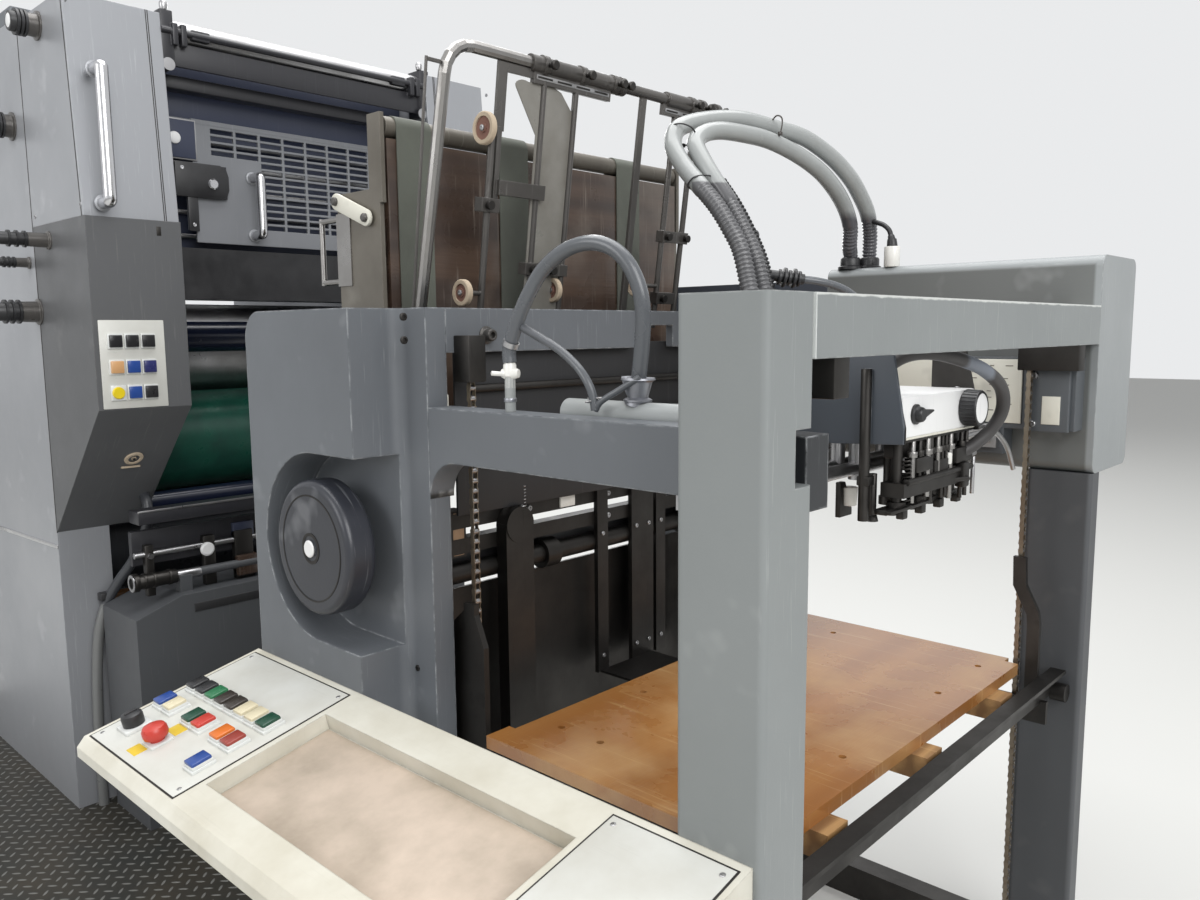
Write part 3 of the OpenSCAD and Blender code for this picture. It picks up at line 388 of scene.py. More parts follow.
@dataclass(frozen=True)
class Paint:
    """A stoved or sprayed paint on metal, rubbed at its edges and soiled in clouds."""

    name: str
    colour: Colour
    soiled: Colour
    bare: Colour
    roughness: float = 0.42
    cloud_scale: float = 2.2
    cloud: float = 0.35
    hammer: float = 0.12
    hammer_scale: float = 220.0
    edge: float = 0.5
    edge_radius: float = 0.003
    scratch: float = 0.15
    metallic: float = 0.0
    zones: tuple[Zone, ...] = ()

    def material(self) -> bpy.types.Material:
        """Makes the material."""
        coat = Coat(self.name)
        mottle = coat.effect(Effect.MOTTLE, scale=self.cloud_scale, fine=self.hammer_scale)
        edge = coat.effect(Effect.EDGE, radius=self.edge_radius, amount=self.edge)
        scratch = coat.effect(Effect.SCRATCH, amount=self.scratch)
        colour = coat.clouded(mottle["Cloud"], self.cloud, self.colour, self.soiled, self.zones)
        rubbed = coat.math("MAXIMUM", edge["Mask"], scratch["Mask"])
        coat.feed("Base Color", coat.mix(rubbed, colour, self.bare))
        coat.gloss(mottle["Cloud"], 0.16, self.roughness - 0.06)
        coat.plain(metallic=self.metallic)
        coat.bump(mottle["Height"], self.hammer, 0.001, edge["Soft Normal"])
        return coat.material


@dataclass(frozen=True)
class Metal:
    """Bare, plated or oiled metal."""

    name: str
    colour: Colour
    soiled: Colour
    roughness: float = 0.3
    cloud_scale: float = 6.0
    cloud: float = 0.5
    scratch: float = 0.3

    def material(self) -> bpy.types.Material:
        """Makes the material."""
        coat = Coat(self.name)
        mottle = coat.effect(Effect.MOTTLE, scale=self.cloud_scale, fine=400.0)
        scratch = coat.effect(Effect.SCRATCH, scale=14.0, amount=self.scratch)
        colour = coat.clouded(mottle["Cloud"], self.cloud, self.colour, self.soiled)
        coat.feed("Base Color", coat.mix(scratch["Mask"], colour, self.soiled))
        coat.gloss(mottle["Cloud"], 0.22, self.roughness - 0.05)
        coat.plain(metallic=1.0)
        coat.bump(mottle["Height"], 0.06, 0.0004)
        return coat.material


@dataclass(frozen=True)
class Plastic:
    """Moulded plastic, rubber or hose skin."""

    name: str
    colour: Colour
    dusty: Colour
    roughness: float = 0.45
    cloud: float = 0.3
    cloud_scale: float = 12.0
    bump: float = 0.08
    zones: tuple[Zone, ...] = ()

    def material(self) -> bpy.types.Material:
        """Makes the material."""
        coat = Coat(self.name)
        mottle = coat.effect(Effect.MOTTLE, scale=self.cloud_scale, fine=500.0)
        coat.feed("Base Color", coat.clouded(mottle["Cloud"], self.cloud, self.colour, self.dusty,
            self.zones))
        coat.gloss(mottle["Cloud"], 0.15, self.roughness - 0.05)
        coat.bump(mottle["Height"], self.bump, 0.0006)
        return coat.material


@dataclass(frozen=True)
class Wood:
    """A wooden board or bar with figure, pores, scratches and a worn varnish."""

    name: str
    pale: Colour
    dark: Colour
    worn: Colour
    roughness: float = 0.35
    varnish: float = 0.4
    figure_scale: float = 1.0
    wear_scale: float = 1.4

    def material(self) -> bpy.types.Material:
        """Makes the material."""
        coat = Coat(self.name)
        grain = coat.effect(Effect.GRAIN, scale=self.figure_scale)
        mottle = coat.effect(Effect.MOTTLE, scale=self.wear_scale, fine=90.0)
        scratch = coat.effect(Effect.SCRATCH, scale=4.0, amount=0.6)
        board = coat.mix(coat.fade(grain["Figure"], 0.25, 0.75), self.dark, self.pale)
        board = coat.mix(coat.math("MULTIPLY", grain["Pores"], 0.25), board, self.dark)
        worn = coat.math("MULTIPLY", coat.fade(mottle["Cloud"], 0.45, 0.95), 0.55)
        board = coat.mix(worn, board, self.worn)
        coat.feed("Base Color", coat.mix(scratch["Mask"], board, self.worn))
        coat.gloss(mottle["Cloud"], 0.3, self.roughness - 0.1)
        coat.plain(coat_weight=self.varnish, coat_roughness=0.25)
        coat.bump(grain["Pores"], 0.15, 0.0006)
        return coat.material


@dataclass(frozen=True)
class Chequer:
    """Steel floor plate with raised lozenges that lie across each other, dirty between them."""

    name: str
    colour: Colour
    dirt: Colour
    rubbed: Colour
    pitch: float = 0.032
    half_long: float = 0.44
    half_wide: float = 0.13
    roughness: float = 0.5

    def lozenges(self, coat: Coat) -> Socket:
        """Works out the height of the lozenges.

        Args:
            coat: The material in the making.

        Returns:
            The height, from 0 to 1.
        """
        turned = coat.add("Mapping", {"Vector": coat.place, "Rotation": (0.0, 0.0, math.radians(45)),
                                      "Scale": (1 / self.pitch,) * 3}).outputs[0]
        cell, inside = (coat.add("SeparateXYZ", {0: coat.vector(kind, turned).outputs[0]}).outputs
                        for kind in ("FLOOR", "FRACTION"))
        odd = coat.math("PINGPONG", coat.math("ADD", cell[0], cell[1]), 1.0)
        across, along = (coat.math("SUBTRACT", inside[axis], 0.5) for axis in (0, 1))
        heights = []
        for pair in ((across, along), (along, across)):
            parts = [coat.math("POWER", coat.math("DIVIDE", coat.math("ABSOLUTE", part), half), 2.0)
                     for part, half in zip(pair, (self.half_long, self.half_wide))]
            heights.append(coat.fade(coat.math("ADD", *parts), 1.0, 0.4))
        return coat.add("Mix", {0: odd, 2: heights[0], 3: heights[1]}).outputs[0]

    def material(self) -> bpy.types.Material:
        """Makes the material."""
        coat = Coat(self.name)
        facing = coat.add("SeparateXYZ", {0: coat.add("TexCoord").outputs["Normal"]}).outputs[2]
        raised = coat.math("MULTIPLY", self.lozenges(coat), coat.fade(facing, 0.7, 0.9))
        mottle = coat.effect(Effect.MOTTLE, scale=4.0, fine=200.0)
        floor = coat.clouded(mottle["Cloud"], 0.8, self.colour, self.dirt)
        coat.feed("Base Color", coat.mix(coat.math("MULTIPLY", raised, 0.7), floor, self.rubbed))
        coat.plain(roughness=self.roughness, metallic=0.5)
        coat.bump(raised, 0.8, 0.0015)
        return coat.material


@dataclass(frozen=True)
class Cloth:
    """Woven tape or pressed felt."""

    name: str
    colour: Colour
    soiled: Colour
    threads: float = 300.0
    roughness: float = 0.85

    def material(self) -> bpy.types.Material:
        """Makes the material."""
        coat = Coat(self.name)
        weave = coat.effect(Effect.WEAVE, threads=self.threads)["Height"]
        mottle = coat.effect(Effect.MOTTLE, scale=5.0, fine=300.0)
        colour = coat.clouded(mottle["Cloud"], 0.7, self.colour, self.soiled)
        coat.feed("Base Color", coat.mix(coat.math("MULTIPLY", weave, 0.25), colour, self.soiled))
        coat.plain(roughness=self.roughness, sheen_weight=0.2)
        coat.bump(weave, 0.4, 0.0005)
        return coat.material


class Finish(Enum):
    """Every finish on the press, named for where it is found."""

    # The casting's zone darkens the rail's end in the notch beside the near column to near black: painted
    # shade.
    CASTING = Paint("casting_grey", (104, 108, 113), (86, 89, 93), (190, 193, 195), cloud=0.55,
                    edge=0.9, edge_radius=0.005, zones=(
                        Zone((2.94, -0.7, 1.2), (3.095, -0.3, 1.45), (40, 42, 45), 1.0, 0.004),))
    # The column's two zones are thin pale bands along the crossbar's top edge and down the near column's
    # front edge: painted highlights.
    COLUMN = Paint("column_grey", (134, 138, 138), (114, 118, 118), (206, 208, 206), cloud=0.4,
                   edge=0.8, edge_radius=0.004, zones=(
                       Zone((3.02, -0.58, 1.546), (3.104, 0.7, 1.553), (214, 216, 212), 0.8, 0.002, 0.006),
                       Zone((3.09, -0.583, 1.44), (3.11, -0.5775, 1.56), (214, 217, 215), 0.9, 0.001, 0.004)))
    # Frame grey darkened for the far side's rail, front column and bracket, which stand in the shade inside
    # the press: painted shade.
    RAIL_DARK = Paint("far_side_shaded_grey", (84, 88, 92), (66, 69, 72), (120, 122, 124), roughness=0.5)
    # The housing's first zone darkens its near (-Y) face: painted shade.
    HOUSING = Paint("drive_housing_grey", (148, 152, 153), (128, 131, 132), (208, 210, 210), zones=(
        Zone((2.455, 0.5, 1.1), (3.088, 0.603, 1.64), (98, 100, 98), 0.92, 0.006),
        Zone((1.8, 0.5, 1.1), (2.4582, 0.9, 1.64), (52, 56, 66), 0.95)))
    DARK_PAINT = Paint("dark_grey_paint", (78, 80, 83), (60, 61, 63), (120, 120, 120), roughness=0.5)
    SILVER_PANEL = Paint("silver_panel", (160, 162, 166), (138, 140, 145), (212, 213, 216),
                         roughness=0.34, metallic=0.3, hammer=0.04, scratch=0.2)
    CONTROL_COVER = Paint("control_cover_grey", (92, 93, 95), (74, 75, 76), (150, 150, 148),
                          roughness=0.45, cloud=0.5)
    CREAM = Paint("cream_paint", (222, 220, 208), (190, 186, 172), (120, 116, 108),
                  roughness=0.4, hammer=0.03, edge=0.25, scratch=0.35)
    CONSOLE = Paint("console_cream", (218, 216, 205), (182, 176, 158), (110, 104, 94),
                    roughness=0.38, hammer=0.03, edge=0.45, scratch=0.05, cloud=0.8, cloud_scale=4.5)
    CONSOLE_PLATE = Paint("console_plate_grey", (212, 213, 208), (184, 181, 170), (140, 136, 128),
                          roughness=0.4, hammer=0.03, edge=0.3, scratch=0.06, cloud=0.7, cloud_scale=5.0)
    GUARD = Paint("guard_grey", (126, 128, 132), (104, 106, 110), (170, 172, 174), zones=(
        Zone((0.8985, -0.384, 1.8), (1.0, -0.23, 2.01), (34, 34, 38), 1.0, 0.0005),))
    INK_PLATE = Paint("ink_unit_blue_grey", (58, 64, 84), (40, 44, 58), (96, 100, 110), roughness=0.35)
    HANDWHEEL = Paint("handwheel_black", (50, 52, 59), (38, 39, 44), (176, 178, 182), roughness=0.32,
                      edge=0.5, edge_radius=0.002, scratch=0.2, cloud=0.5)
    PIPE_GREY = Paint("air_pipe_grey", (172, 176, 176), (128, 130, 128), (206, 208, 206), cloud=0.8,
                      roughness=0.35)
    WORN_CYLINDER = Paint("impression_cylinder_dark", (70, 72, 76), (46, 46, 48), (110, 110, 112),
                          roughness=0.3, metallic=0.5, cloud=0.8)
    # Near-black paint for plates that stand in for the shaded inside of the press, its slots and vents:
    # painted shade.
    INTERIOR = Paint("painted_shade_black", (38, 38, 40), (30, 29, 29), (84, 84, 84), roughness=0.5, cloud=0.7)
    BLACK_BEAM = Paint("black_beam", (44, 44, 48), (30, 30, 33), (92, 92, 96), roughness=0.35, edge=0.7)
    PLATE_DARK = Paint("head_plate_blue_grey", (66, 72, 80), (52, 57, 64), (128, 132, 136), roughness=0.45,
                       edge=0.7)
    HEAD_WHITE = Paint("head_white", (236, 236, 236), (214, 214, 212), (150, 150, 148),
                       roughness=0.35, hammer=0.02, edge=0.3, scratch=0.12)
    PIPE_WHITE = Plastic("white_plastic", (232, 231, 226), (204, 202, 194), roughness=0.25, cloud=0.4)
    TABLE_METAL = Paint("table_metal", (118, 113, 104), (84, 79, 71), (158, 155, 146), roughness=0.42,
                        cloud=0.9, cloud_scale=3.5, metallic=0.3, scratch=0.3, edge=0.15)
    BLACK = Plastic("black_plastic", (28, 28, 30), (64, 64, 66), roughness=0.38)
    BEZEL = Plastic("bezel_plastic", (206, 206, 200), (170, 168, 160), roughness=0.3)
    BUTTON_BLACK = Plastic("button_black", (34, 34, 36), (70, 70, 70), roughness=0.25)
    BUTTON_SMOKE = Plastic("button_smoke", (52, 46, 42), (84, 78, 70), roughness=0.22)
    BUTTON_GREEN = Plastic("button_green", (38, 112, 70), (66, 120, 90), roughness=0.22)
    BUTTON_DEEP_GREEN = Plastic("button_deep_green", (26, 70, 52), (50, 84, 70), roughness=0.22)
    BUTTON_BLUE = Plastic("button_blue", (38, 70, 140), (70, 94, 150), roughness=0.22)
    BUTTON_RED = Plastic("button_red", (192, 58, 48), (170, 66, 50), roughness=0.28)
    BUTTON_ORANGE = Plastic("button_orange", (214, 112, 38), (190, 120, 66), roughness=0.25)
    BUTTON_IVORY = Plastic("button_ivory", (216, 206, 176), (190, 180, 150), roughness=0.28)
    BUTTON = Plastic("button_plastic", (120, 124, 122), (96, 98, 96), roughness=0.3)
    YELLOW = Plastic("yellow_plate", (216, 184, 44), (190, 164, 60), roughness=0.4)
    PRINTED = Plastic("grey_print", (120, 116, 108), (150, 146, 136), roughness=0.7)
    MAT = Plastic("pan_floor", (196, 180, 164), (150, 138, 122), roughness=0.6, bump=0.2, cloud=0.9,
                  cloud_scale=7.0)
    BUTTON_DEEP_BLUE = Plastic("button_deep_blue", (40, 44, 96), (66, 70, 110), roughness=0.22)
    BUTTON_BROWN = Plastic("button_red_brown", (150, 62, 52), (130, 62, 54), roughness=0.25)
    BUTTON_YELLOW = Plastic("button_yellow", (226, 200, 30), (200, 178, 60), roughness=0.3)
    BUTTON_TAN = Plastic("button_tan", (206, 158, 110), (176, 140, 100), roughness=0.3)
    LENS = Plastic("milky_button_side", (222, 224, 222), (184, 184, 178), roughness=0.18, cloud=0.5)
    HUB = Plastic("pink_felt_hub", (134, 98, 86), (104, 76, 66), roughness=0.85, cloud=0.8, bump=0.3)
    RIM = Plastic("pale_felt_rim", (188, 172, 150), (150, 132, 112), roughness=0.85, bump=0.3)
    BRIGHT = Metal("bright_steel", (188, 188, 190), (110, 106, 100), roughness=0.3)
    CHAIN = Metal("chain_steel", (158, 150, 136), (100, 78, 58), roughness=0.38, cloud=0.8, scratch=0.4)
    HOLD_STEEL = Paint("hold_down_steel", (104, 101, 98), (58, 56, 54), (150, 148, 145), roughness=0.28,
                       metallic=0.5, cloud=0.8, edge=0.2, scratch=0.3)
    TUBE_STEEL = Metal("bent_tube_steel", (162, 160, 158), (110, 107, 102), roughness=0.26, cloud=0.6)
    DARK_STEEL = Metal("dark_steel", (74, 72, 70), (38, 37, 36), roughness=0.42)
    CHROME = Metal("chrome", (206, 206, 208), (150, 148, 146), roughness=0.14, cloud=0.2, scratch=0.12)
    PILE_BOARD = Wood("pile_board_varnish", (166, 114, 62), (150, 98, 50), (196, 160, 112),
                      figure_scale=0.22, wear_scale=3.6, roughness=0.22, varnish=0.6)
    SKID = Wood("skid_wood", (178, 138, 88), (128, 92, 54), (196, 160, 112), varnish=0.1, roughness=0.6)
    TABLE_BOARD = Wood("table_board", (88, 70, 58), (58, 45, 38), (128, 118, 108), varnish=0.35,
                       roughness=0.3, wear_scale=3.2, figure_scale=0.6)
    TAPE = Cloth("green_tape", (104, 108, 98), (74, 76, 69))
    BLANKET = Plastic("green_blanket", (36, 92, 76), (22, 56, 50), roughness=0.3, cloud=0.7, bump=0.04)
    INK = Plastic("inked_rubber", (26, 32, 52), (14, 18, 30), roughness=0.2)
    FELT = Cloth("tan_felt", (176, 146, 116), (128, 100, 76), threads=120.0)
    BUNDLE = Plastic("bundle_hose_grey", (156, 159, 158), (128, 130, 130), roughness=0.2, zones=(
        Zone((2.49, -0.2, 1.3), (2.9, 0.1, 1.806), (92, 92, 94), 1.0, 0.004),
        Zone((2.4, 0.4, 1.6), (2.7, 0.8, 1.79), (88, 88, 92), 1.0, 0.02)))
    HOSE = Plastic("grey_hose", (92, 95, 99), (64, 65, 68), roughness=0.24)
    HEAD_HOSE = Plastic("head_hose_grey", (62, 60, 60), (48, 46, 46), roughness=0.5, zones=(
        Zone((3.0, 0.0, 1.4), (3.09, 0.09, 1.47), (118, 124, 134), 0.8, 0.012, 0.01),))
    UNIT_HOSE = Plastic("unit_hose_grey", (62, 64, 68), (48, 49, 52), roughness=0.3, zones=(
        Zone((0.6, -0.7, 0.0), (0.76, -0.5, 0.7), (112, 113, 112), 0.9, 0.004),))
    CLAMP = Metal("clamp_zinc", (168, 170, 176), (120, 120, 124), roughness=0.35)
    SHEET = Plastic("hanging_sheet_grey", (132, 130, 124), (104, 100, 93), roughness=0.3, cloud=0.6)
    TREAD = Chequer("tread_plate", (50, 52, 50), (72, 65, 54), (142, 142, 138))

    def make(self) -> bpy.types.Material:
        """Gives this finish's material, made on first use."""
        return bpy.data.materials.get(f"{self.value.name}_finish") or self.value.material()


SLOT_FINISHES = {
    "grey_casting": Finish.CASTING, "dark_grey_paint": Finish.DARK_PAINT, "light_panel": Finish.SILVER_PANEL,
    "cream_paint": Finish.CREAM, "black_plastic": Finish.BLACK, "button_plastic": Finish.BUTTON,
    "bright_steel": Finish.BRIGHT, "dark_steel": Finish.DARK_STEEL, "chrome_bar": Finish.CHROME,
    "pile_wood": Finish.PILE_BOARD, "skid_wood": Finish.SKID, "table_board": Finish.TABLE_BOARD,
    "table_metal": Finish.TABLE_METAL, "tape_fabric": Finish.TAPE, "green_blanket": Finish.BLANKET,
    "ink_rubber": Finish.INK, "felt": Finish.FELT, "hose_rubber": Finish.HOSE, "tread_plate": Finish.TREAD,
}
NODE_FINISHES = {
    # The far side's rail and front column take the frame grey darkened as painted shade.
    "near_column": Finish.COLUMN, "rear_crossbar": Finish.COLUMN, "far_side_rail": Finish.RAIL_DARK,
    "far_front_column": Finish.RAIL_DARK, "drive_housing": Finish.HOUSING, "console_tray": Finish.CONSOLE,
    "near_control_cover": Finish.CONTROL_COVER, "air_pipe": Finish.PIPE_GREY, "handwheel": Finish.HANDWHEEL,
    "table_handle": Finish.TUBE_STEEL, "impression_cylinder": Finish.WORN_CYLINDER,
    "far_control_cover": Finish.CONTROL_COVER, "grille_guard": Finish.GUARD,
    "hold_down_frame": Finish.HOLD_STEEL, "hold_down_tube": Finish.TUBE_STEEL,
    "front_cross_plate": Finish.CASTING,
}


class Axis(Enum):
    """The direction in which a shape is pushed out, with the two directions square to it."""

    X = (Vector((1, 0, 0)), Vector((0, 1, 0)), Vector((0, 0, 1)))
    Y = (Vector((0, 1, 0)), Vector((1, 0, 0)), Vector((0, 0, 1)))
    Z = (Vector((0, 0, 1)), Vector((1, 0, 0)), Vector((0, 1, 0)))

    def spot(self, along: float, across: float, up: float) -> Vector:
        """Gives the point at a place along the axis and at two places square to it."""
        ahead, side, rise = self.value
        return ahead * along + side * across + rise * up


def smooth_line(points: list[Point], step: float) -> list[Vector]:
    """Runs a smooth line through points.

    Args:
        points: The points that it passes, from end to end.
        step: The spacing of the result.

    Returns:
        The points of the line.
    """
    stops = [Vector(point) for point in points]
    ends = [stops[0] * 2 - stops[1], *stops, stops[-1] * 2 - stops[-2]]
    line = [stops[0].copy()]
    for before, start, end, after in zip(ends, ends[1:], ends[2:], ends[3:]):
        lean_in, lean_out = (end - before) * 0.5, (after - start) * 0.5
        count = max(1, round((end - start).length / step))
        for index in range(1, count + 1):
            share = index / count
            square, cube = share * share, share ** 3
            line.append(start * (2 * cube - 3 * square + 1) + lean_in * (cube - 2 * square + share)
                        + end * (3 * square - 2 * cube) + lean_out * (cube - square))
    return line


def span(side: int, first: float, second: float) -> list[float]:
    """Gives two places across the press, the lower first, on its near side (-1) or its far side (1)."""
    return sorted((side * first, side * second))


def tube(name: str, line: list[Vector], radius: float, roundness: int) -> bpy.types.Curve:
    """Makes a closed round tube.

    Args:
        name: The curve's name.
        line: The points of its middle.
        radius: Its radius.
        roundness: How many steps a quarter of its circle has, besides one.

    Returns:
        The curve.
    """
    curve = bpy.data.curves.new(name, "CURVE")
    curve.dimensions, curve.bevel_depth, curve.bevel_resolution = "3D", radius, roundness
    curve.use_fill_caps = True
    points = curve.splines.new("POLY").points
    points.add(len(line) - 1)
    points.foreach_set("co", [part for place in line for part in (*place, 1)])
    return curve


class Piece:
    """One mesh in the making, drawn in millimetres, with a finish for each of its shapes."""

    scale = Matrix.Scale(MM, 4)

    def __init__(self, name: str, body: str = "root", at: Matrix | None = None) -> None:
        """Starts an empty piece.

        Args:
            name: The piece's name.
            body: The body that it rides on.
            at: The frame in which its shapes are drawn, in millimetres.
        """
        self.name = name
        self.body = body
        self.at = at or Matrix()
        self.whole = bmesh.new()
        self.finishes: list[Finish] = []
        self.slot = 0

    def use(self, finish: Finish) -> "Piece":
        """Picks the finish of the shapes that follow.

        Args:
            finish: The finish.

        Returns:
            The piece itself, so that the first shape can follow at once.
        """
        if finish not in self.finishes:
            self.finishes.append(finish)
        self.slot = self.finishes.index(finish)
        return self

    def join(self, part: bmesh.types.BMesh) -> None:
        """Adds one finished shape to the piece.

        Args:
            part: The shape, which is freed.
        """
        bmesh.ops.transform(part, matrix=self.scale @ self.at, verts=part.verts)
        for face in part.faces:
            face.material_index = self.slot
            face.smooth = True
        spare = bpy.data.meshes.new("spare")
        part.to_mesh(spare)
        part.free()
        self.whole.from_mesh(spare)
        bpy.data.meshes.remove(spare)

    @staticmethod
    def tidy(part: bmesh.types.BMesh) -> None:
        """Welds a shape's corners and turns its faces outwards."""
        bmesh.ops.remove_doubles(part, verts=part.verts[:], dist=WELD)
        bmesh.ops.recalc_face_normals(part, faces=part.faces[:])

    @staticmethod
    def rounded(part: bmesh.types.BMesh, edges: list, radius: float) -> None:
        """Rounds edges.

        Args:
            part: The shape.
            edges: Which of its edges.
            radius: The radius, none at 0.
        """
        if radius > 0:
            bmesh.ops.bevel(part, geom=edges, offset=radius, offset_type="OFFSET", segments=2, profile=0.5,
                            affect="EDGES", material=-1)

    @staticmethod
    def turn(line: Vector) -> Matrix:
        """Gives the turn that lays a shape's own Z along a line."""
        return line.to_track_quat("Z", "Y").to_matrix().to_4x4()

    def block(self, low: Point, high: Point, radius: float = 1.5) -> None:
        """Adds a box with rounded edges.

        Args:
            low: Its lowest corner.
            high: Its highest corner.
            radius: The radius of its edges.
        """
        size = Vector(high) - Vector(low)
        part = bmesh.new()
        middle = Matrix.Translation((Vector(low) + Vector(high)) / 2)
        bmesh.ops.create_cube(part, size=1.0, matrix=middle @ Matrix.Diagonal((*size, 1)))
        self.rounded(part, part.edges[:], min(radius, min(size) * 0.45))
        self.join(part)

    def slab(self, outline: list[Spot], axis: Axis, low: float, high: float, radius: float = 1.0) -> None:
        """Adds a plate of any outline.

        Args:
            outline: The outline in the two directions square to the axis.
            axis: The direction of its thickness.
            low: Where it starts along the axis.
            high: Where it ends.
            radius: The radius of its edges.
        """
        part = bmesh.new()
        face = part.faces.new([part.verts.new(axis.spot(low, across, up)) for across, up in outline])
        grown = bmesh.ops.extrude_face_region(part, geom=[face])["geom"]
        moved = [item for item in grown if isinstance(item, bmesh.types.BMVert)]
        bmesh.ops.translate(part, vec=axis.value[0] * (high - low), verts=moved)
        bmesh.ops.recalc_face_normals(part, faces=part.faces[:])
        self.rounded(part, part.edges[:], radius)
        self.join(part)

    def rod(self, start: Point, end: Point, radius: float, tip: float | None = None, sides: int = 20,
            edge: float = 0.8) -> None:
        """Adds a round bar or a cone between two points.

        Args:
            start: Its first end.
            end: Its other end.
            radius: Its radius.
            tip: The radius at its other end, where that differs.
            sides: How many sides its circle has.
            edge: The radius of its rims.
        """
        line = Vector(end) - Vector(start)
        part = bmesh.new()
        place = Matrix.Translation((Vector(start) + Vector(end)) / 2) @ self.turn(line)
        bmesh.ops.create_cone(part, cap_ends=True, cap_tris=False, segments=sides, radius1=radius,
                              radius2=radius if tip is None else tip, depth=line.length, matrix=place)
        rims = [loop.edge for face in part.faces if len(face.verts) > 4 for loop in face.loops]
        self.rounded(part, rims, min(edge, line.length * 0.3, radius * 0.4))
        self.join(part)

    def bar(self, x: float, z: float, half: float, radius: float) -> None:
        """Adds a round bar across the press, as long on both sides of the middle."""
        self.rod((x, -half, z), (x, half, z), radius)

    def turned(self, profile: list[Spot], at: Point, along: Point, sides: int = 32) -> None:
        """Adds a turned shape.

        Args:
            profile: Radius and height of each corner, from the axis back to the axis.
            at: The foot of its axis.
            along: The direction of its axis.
            sides: The steps of the turn.
        """
        part = bmesh.new()
        corners = [part.verts.new((radius, 0.0, height)) for radius, height in profile]
        edges = [part.edges.new(pair) for pair in zip(corners, corners[1:])]
        bmesh.ops.spin(part, geom=corners + edges, cent=(0, 0, 0), axis=UP, angle=math.tau, steps=sides,
                       use_merge=True)
        self.tidy(part)
        bmesh.ops.transform(part, matrix=Matrix.Translation(at) @ self.turn(Vector(along)), verts=part.verts)
        self.join(part)

    def ring(self, inner: float, outer: float, low: float, high: float, at: Point, along: Point,
             sides: int = 32) -> None:
        """Adds a turned ring, or a disc where the inner radius is 0.

        Args:
            inner: Its inner radius.
            outer: Its outer radius.
            low: Where it starts along its axis.
            high: Where it ends.
            at: The foot of its axis.
            along: The direction of its axis.
            sides: The steps of the turn.
        """
        self.turned([(inner, low), (outer, low), (outer, high), (inner, high)], at, along, sides)

    def cap(self, radius: float, side: float, top: float, high: float, at: Point, along: Point,
            sides: int = 32) -> None:
        """Adds a turned cap with a slanted rim.

        Args:
            radius: The radius of its foot.
            side: The height of its straight side.
            top: The radius of its top.
            high: The height of its top.
            at: The foot of its axis.
            along: The direction of its axis.
            sides: The steps of the turn.
        """
        self.turned([(0, 0), (radius, 0), (radius, side), (top, high), (0, high)], at, along, sides)

    def swept(self, points: list[Point], radius: float, roundness: int = 3) -> None:
        """Adds a bent bar, pipe or wire.

        Args:
            points: The corners of its route, from end to end, which it rounds.
            radius: Its radius.
            roundness: How round it is.
        """
        curve = tube("route", smooth_line(points, radius), radius, roundness)
        carrier = bpy.data.objects.new("route", curve)
        mesh = bpy.data.meshes.new_from_object(carrier)
        part = bmesh.new()
        part.from_mesh(mesh)
        self.tidy(part)
        bpy.data.objects.remove(carrier)
        bpy.data.curves.remove(curve)
        bpy.data.meshes.remove(mesh)
        self.join(part)

    def screw(self, at: Point, along: Point, radius: float = 6.0, head: float = 4.0) -> None:
        """Adds the head of a socket screw.

        Args:
            at: Where it sits.
            along: The way that it faces.
            radius: The radius of its head.
            head: The height of its head.
        """
        rim, hole = radius * 0.86, radius * 0.5
        self.turned([(0, -1), (radius, -1), (radius, head * 0.75), (rim, head), (hole, head),
            (hole, head * 0.4), (0, head * 0.4)], at, along, 18)

    def screws(self, places: tuple[tuple[float, ...], ...], along: Point, radius: float, head: float) -> None:
        """Adds a screw wherever places in X, Y and Z meet.

        Args:
            places: The places in X, those in Y and those in Z.
            along: The way that the screws face.
            radius: The radius of their heads.
            head: The height of their heads.
        """
        for spot in product(*places):
            self.screw(spot, along, radius, head)

    def coil(self, start: Point, end: Point, radius: float, wire: float, turns: int) -> None:
        """Adds a coil spring.

        Args:
            start: One end of its axis.
            end: The other end.
            radius: The radius of its coil.
            wire: The radius of its wire.
            turns: How many turns it has.
        """
        line = Vector(end) - Vector(start)
        turn = self.turn(line)
        steps = 10
        count = turns * steps
        points = []
        for step in range(count + 1):
            angle = math.tau * step / steps
            arm = Vector((radius * math.cos(angle), radius * math.sin(angle), line.length * step / count))
            points.append(Vector(start) + turn @ arm)
        self.swept(points, wire, 1)

    def done(self, *replaced: str) -> None:
        """Makes the object, lets it ride on its body and hides what it stands for.

        Args:
            replaced: The CAD nodes that it stands for.
        """
        mesh = bpy.data.meshes.new(self.name)
        self.whole.to_mesh(mesh)
        self.whole.free()
        mesh.set_sharp_from_angle(angle=SHARP_ANGLE)
        for finish in self.finishes:
            mesh.materials.append(finish.make())
        piece = bpy.data.objects.new(self.name, mesh)
        bpy.context.scene.collection.objects.link(piece)
        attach(piece, self.body)
        if replaced:
            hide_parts(*replaced)
        LOG.info("%s: %d faces", self.name, len(mesh.polygons))


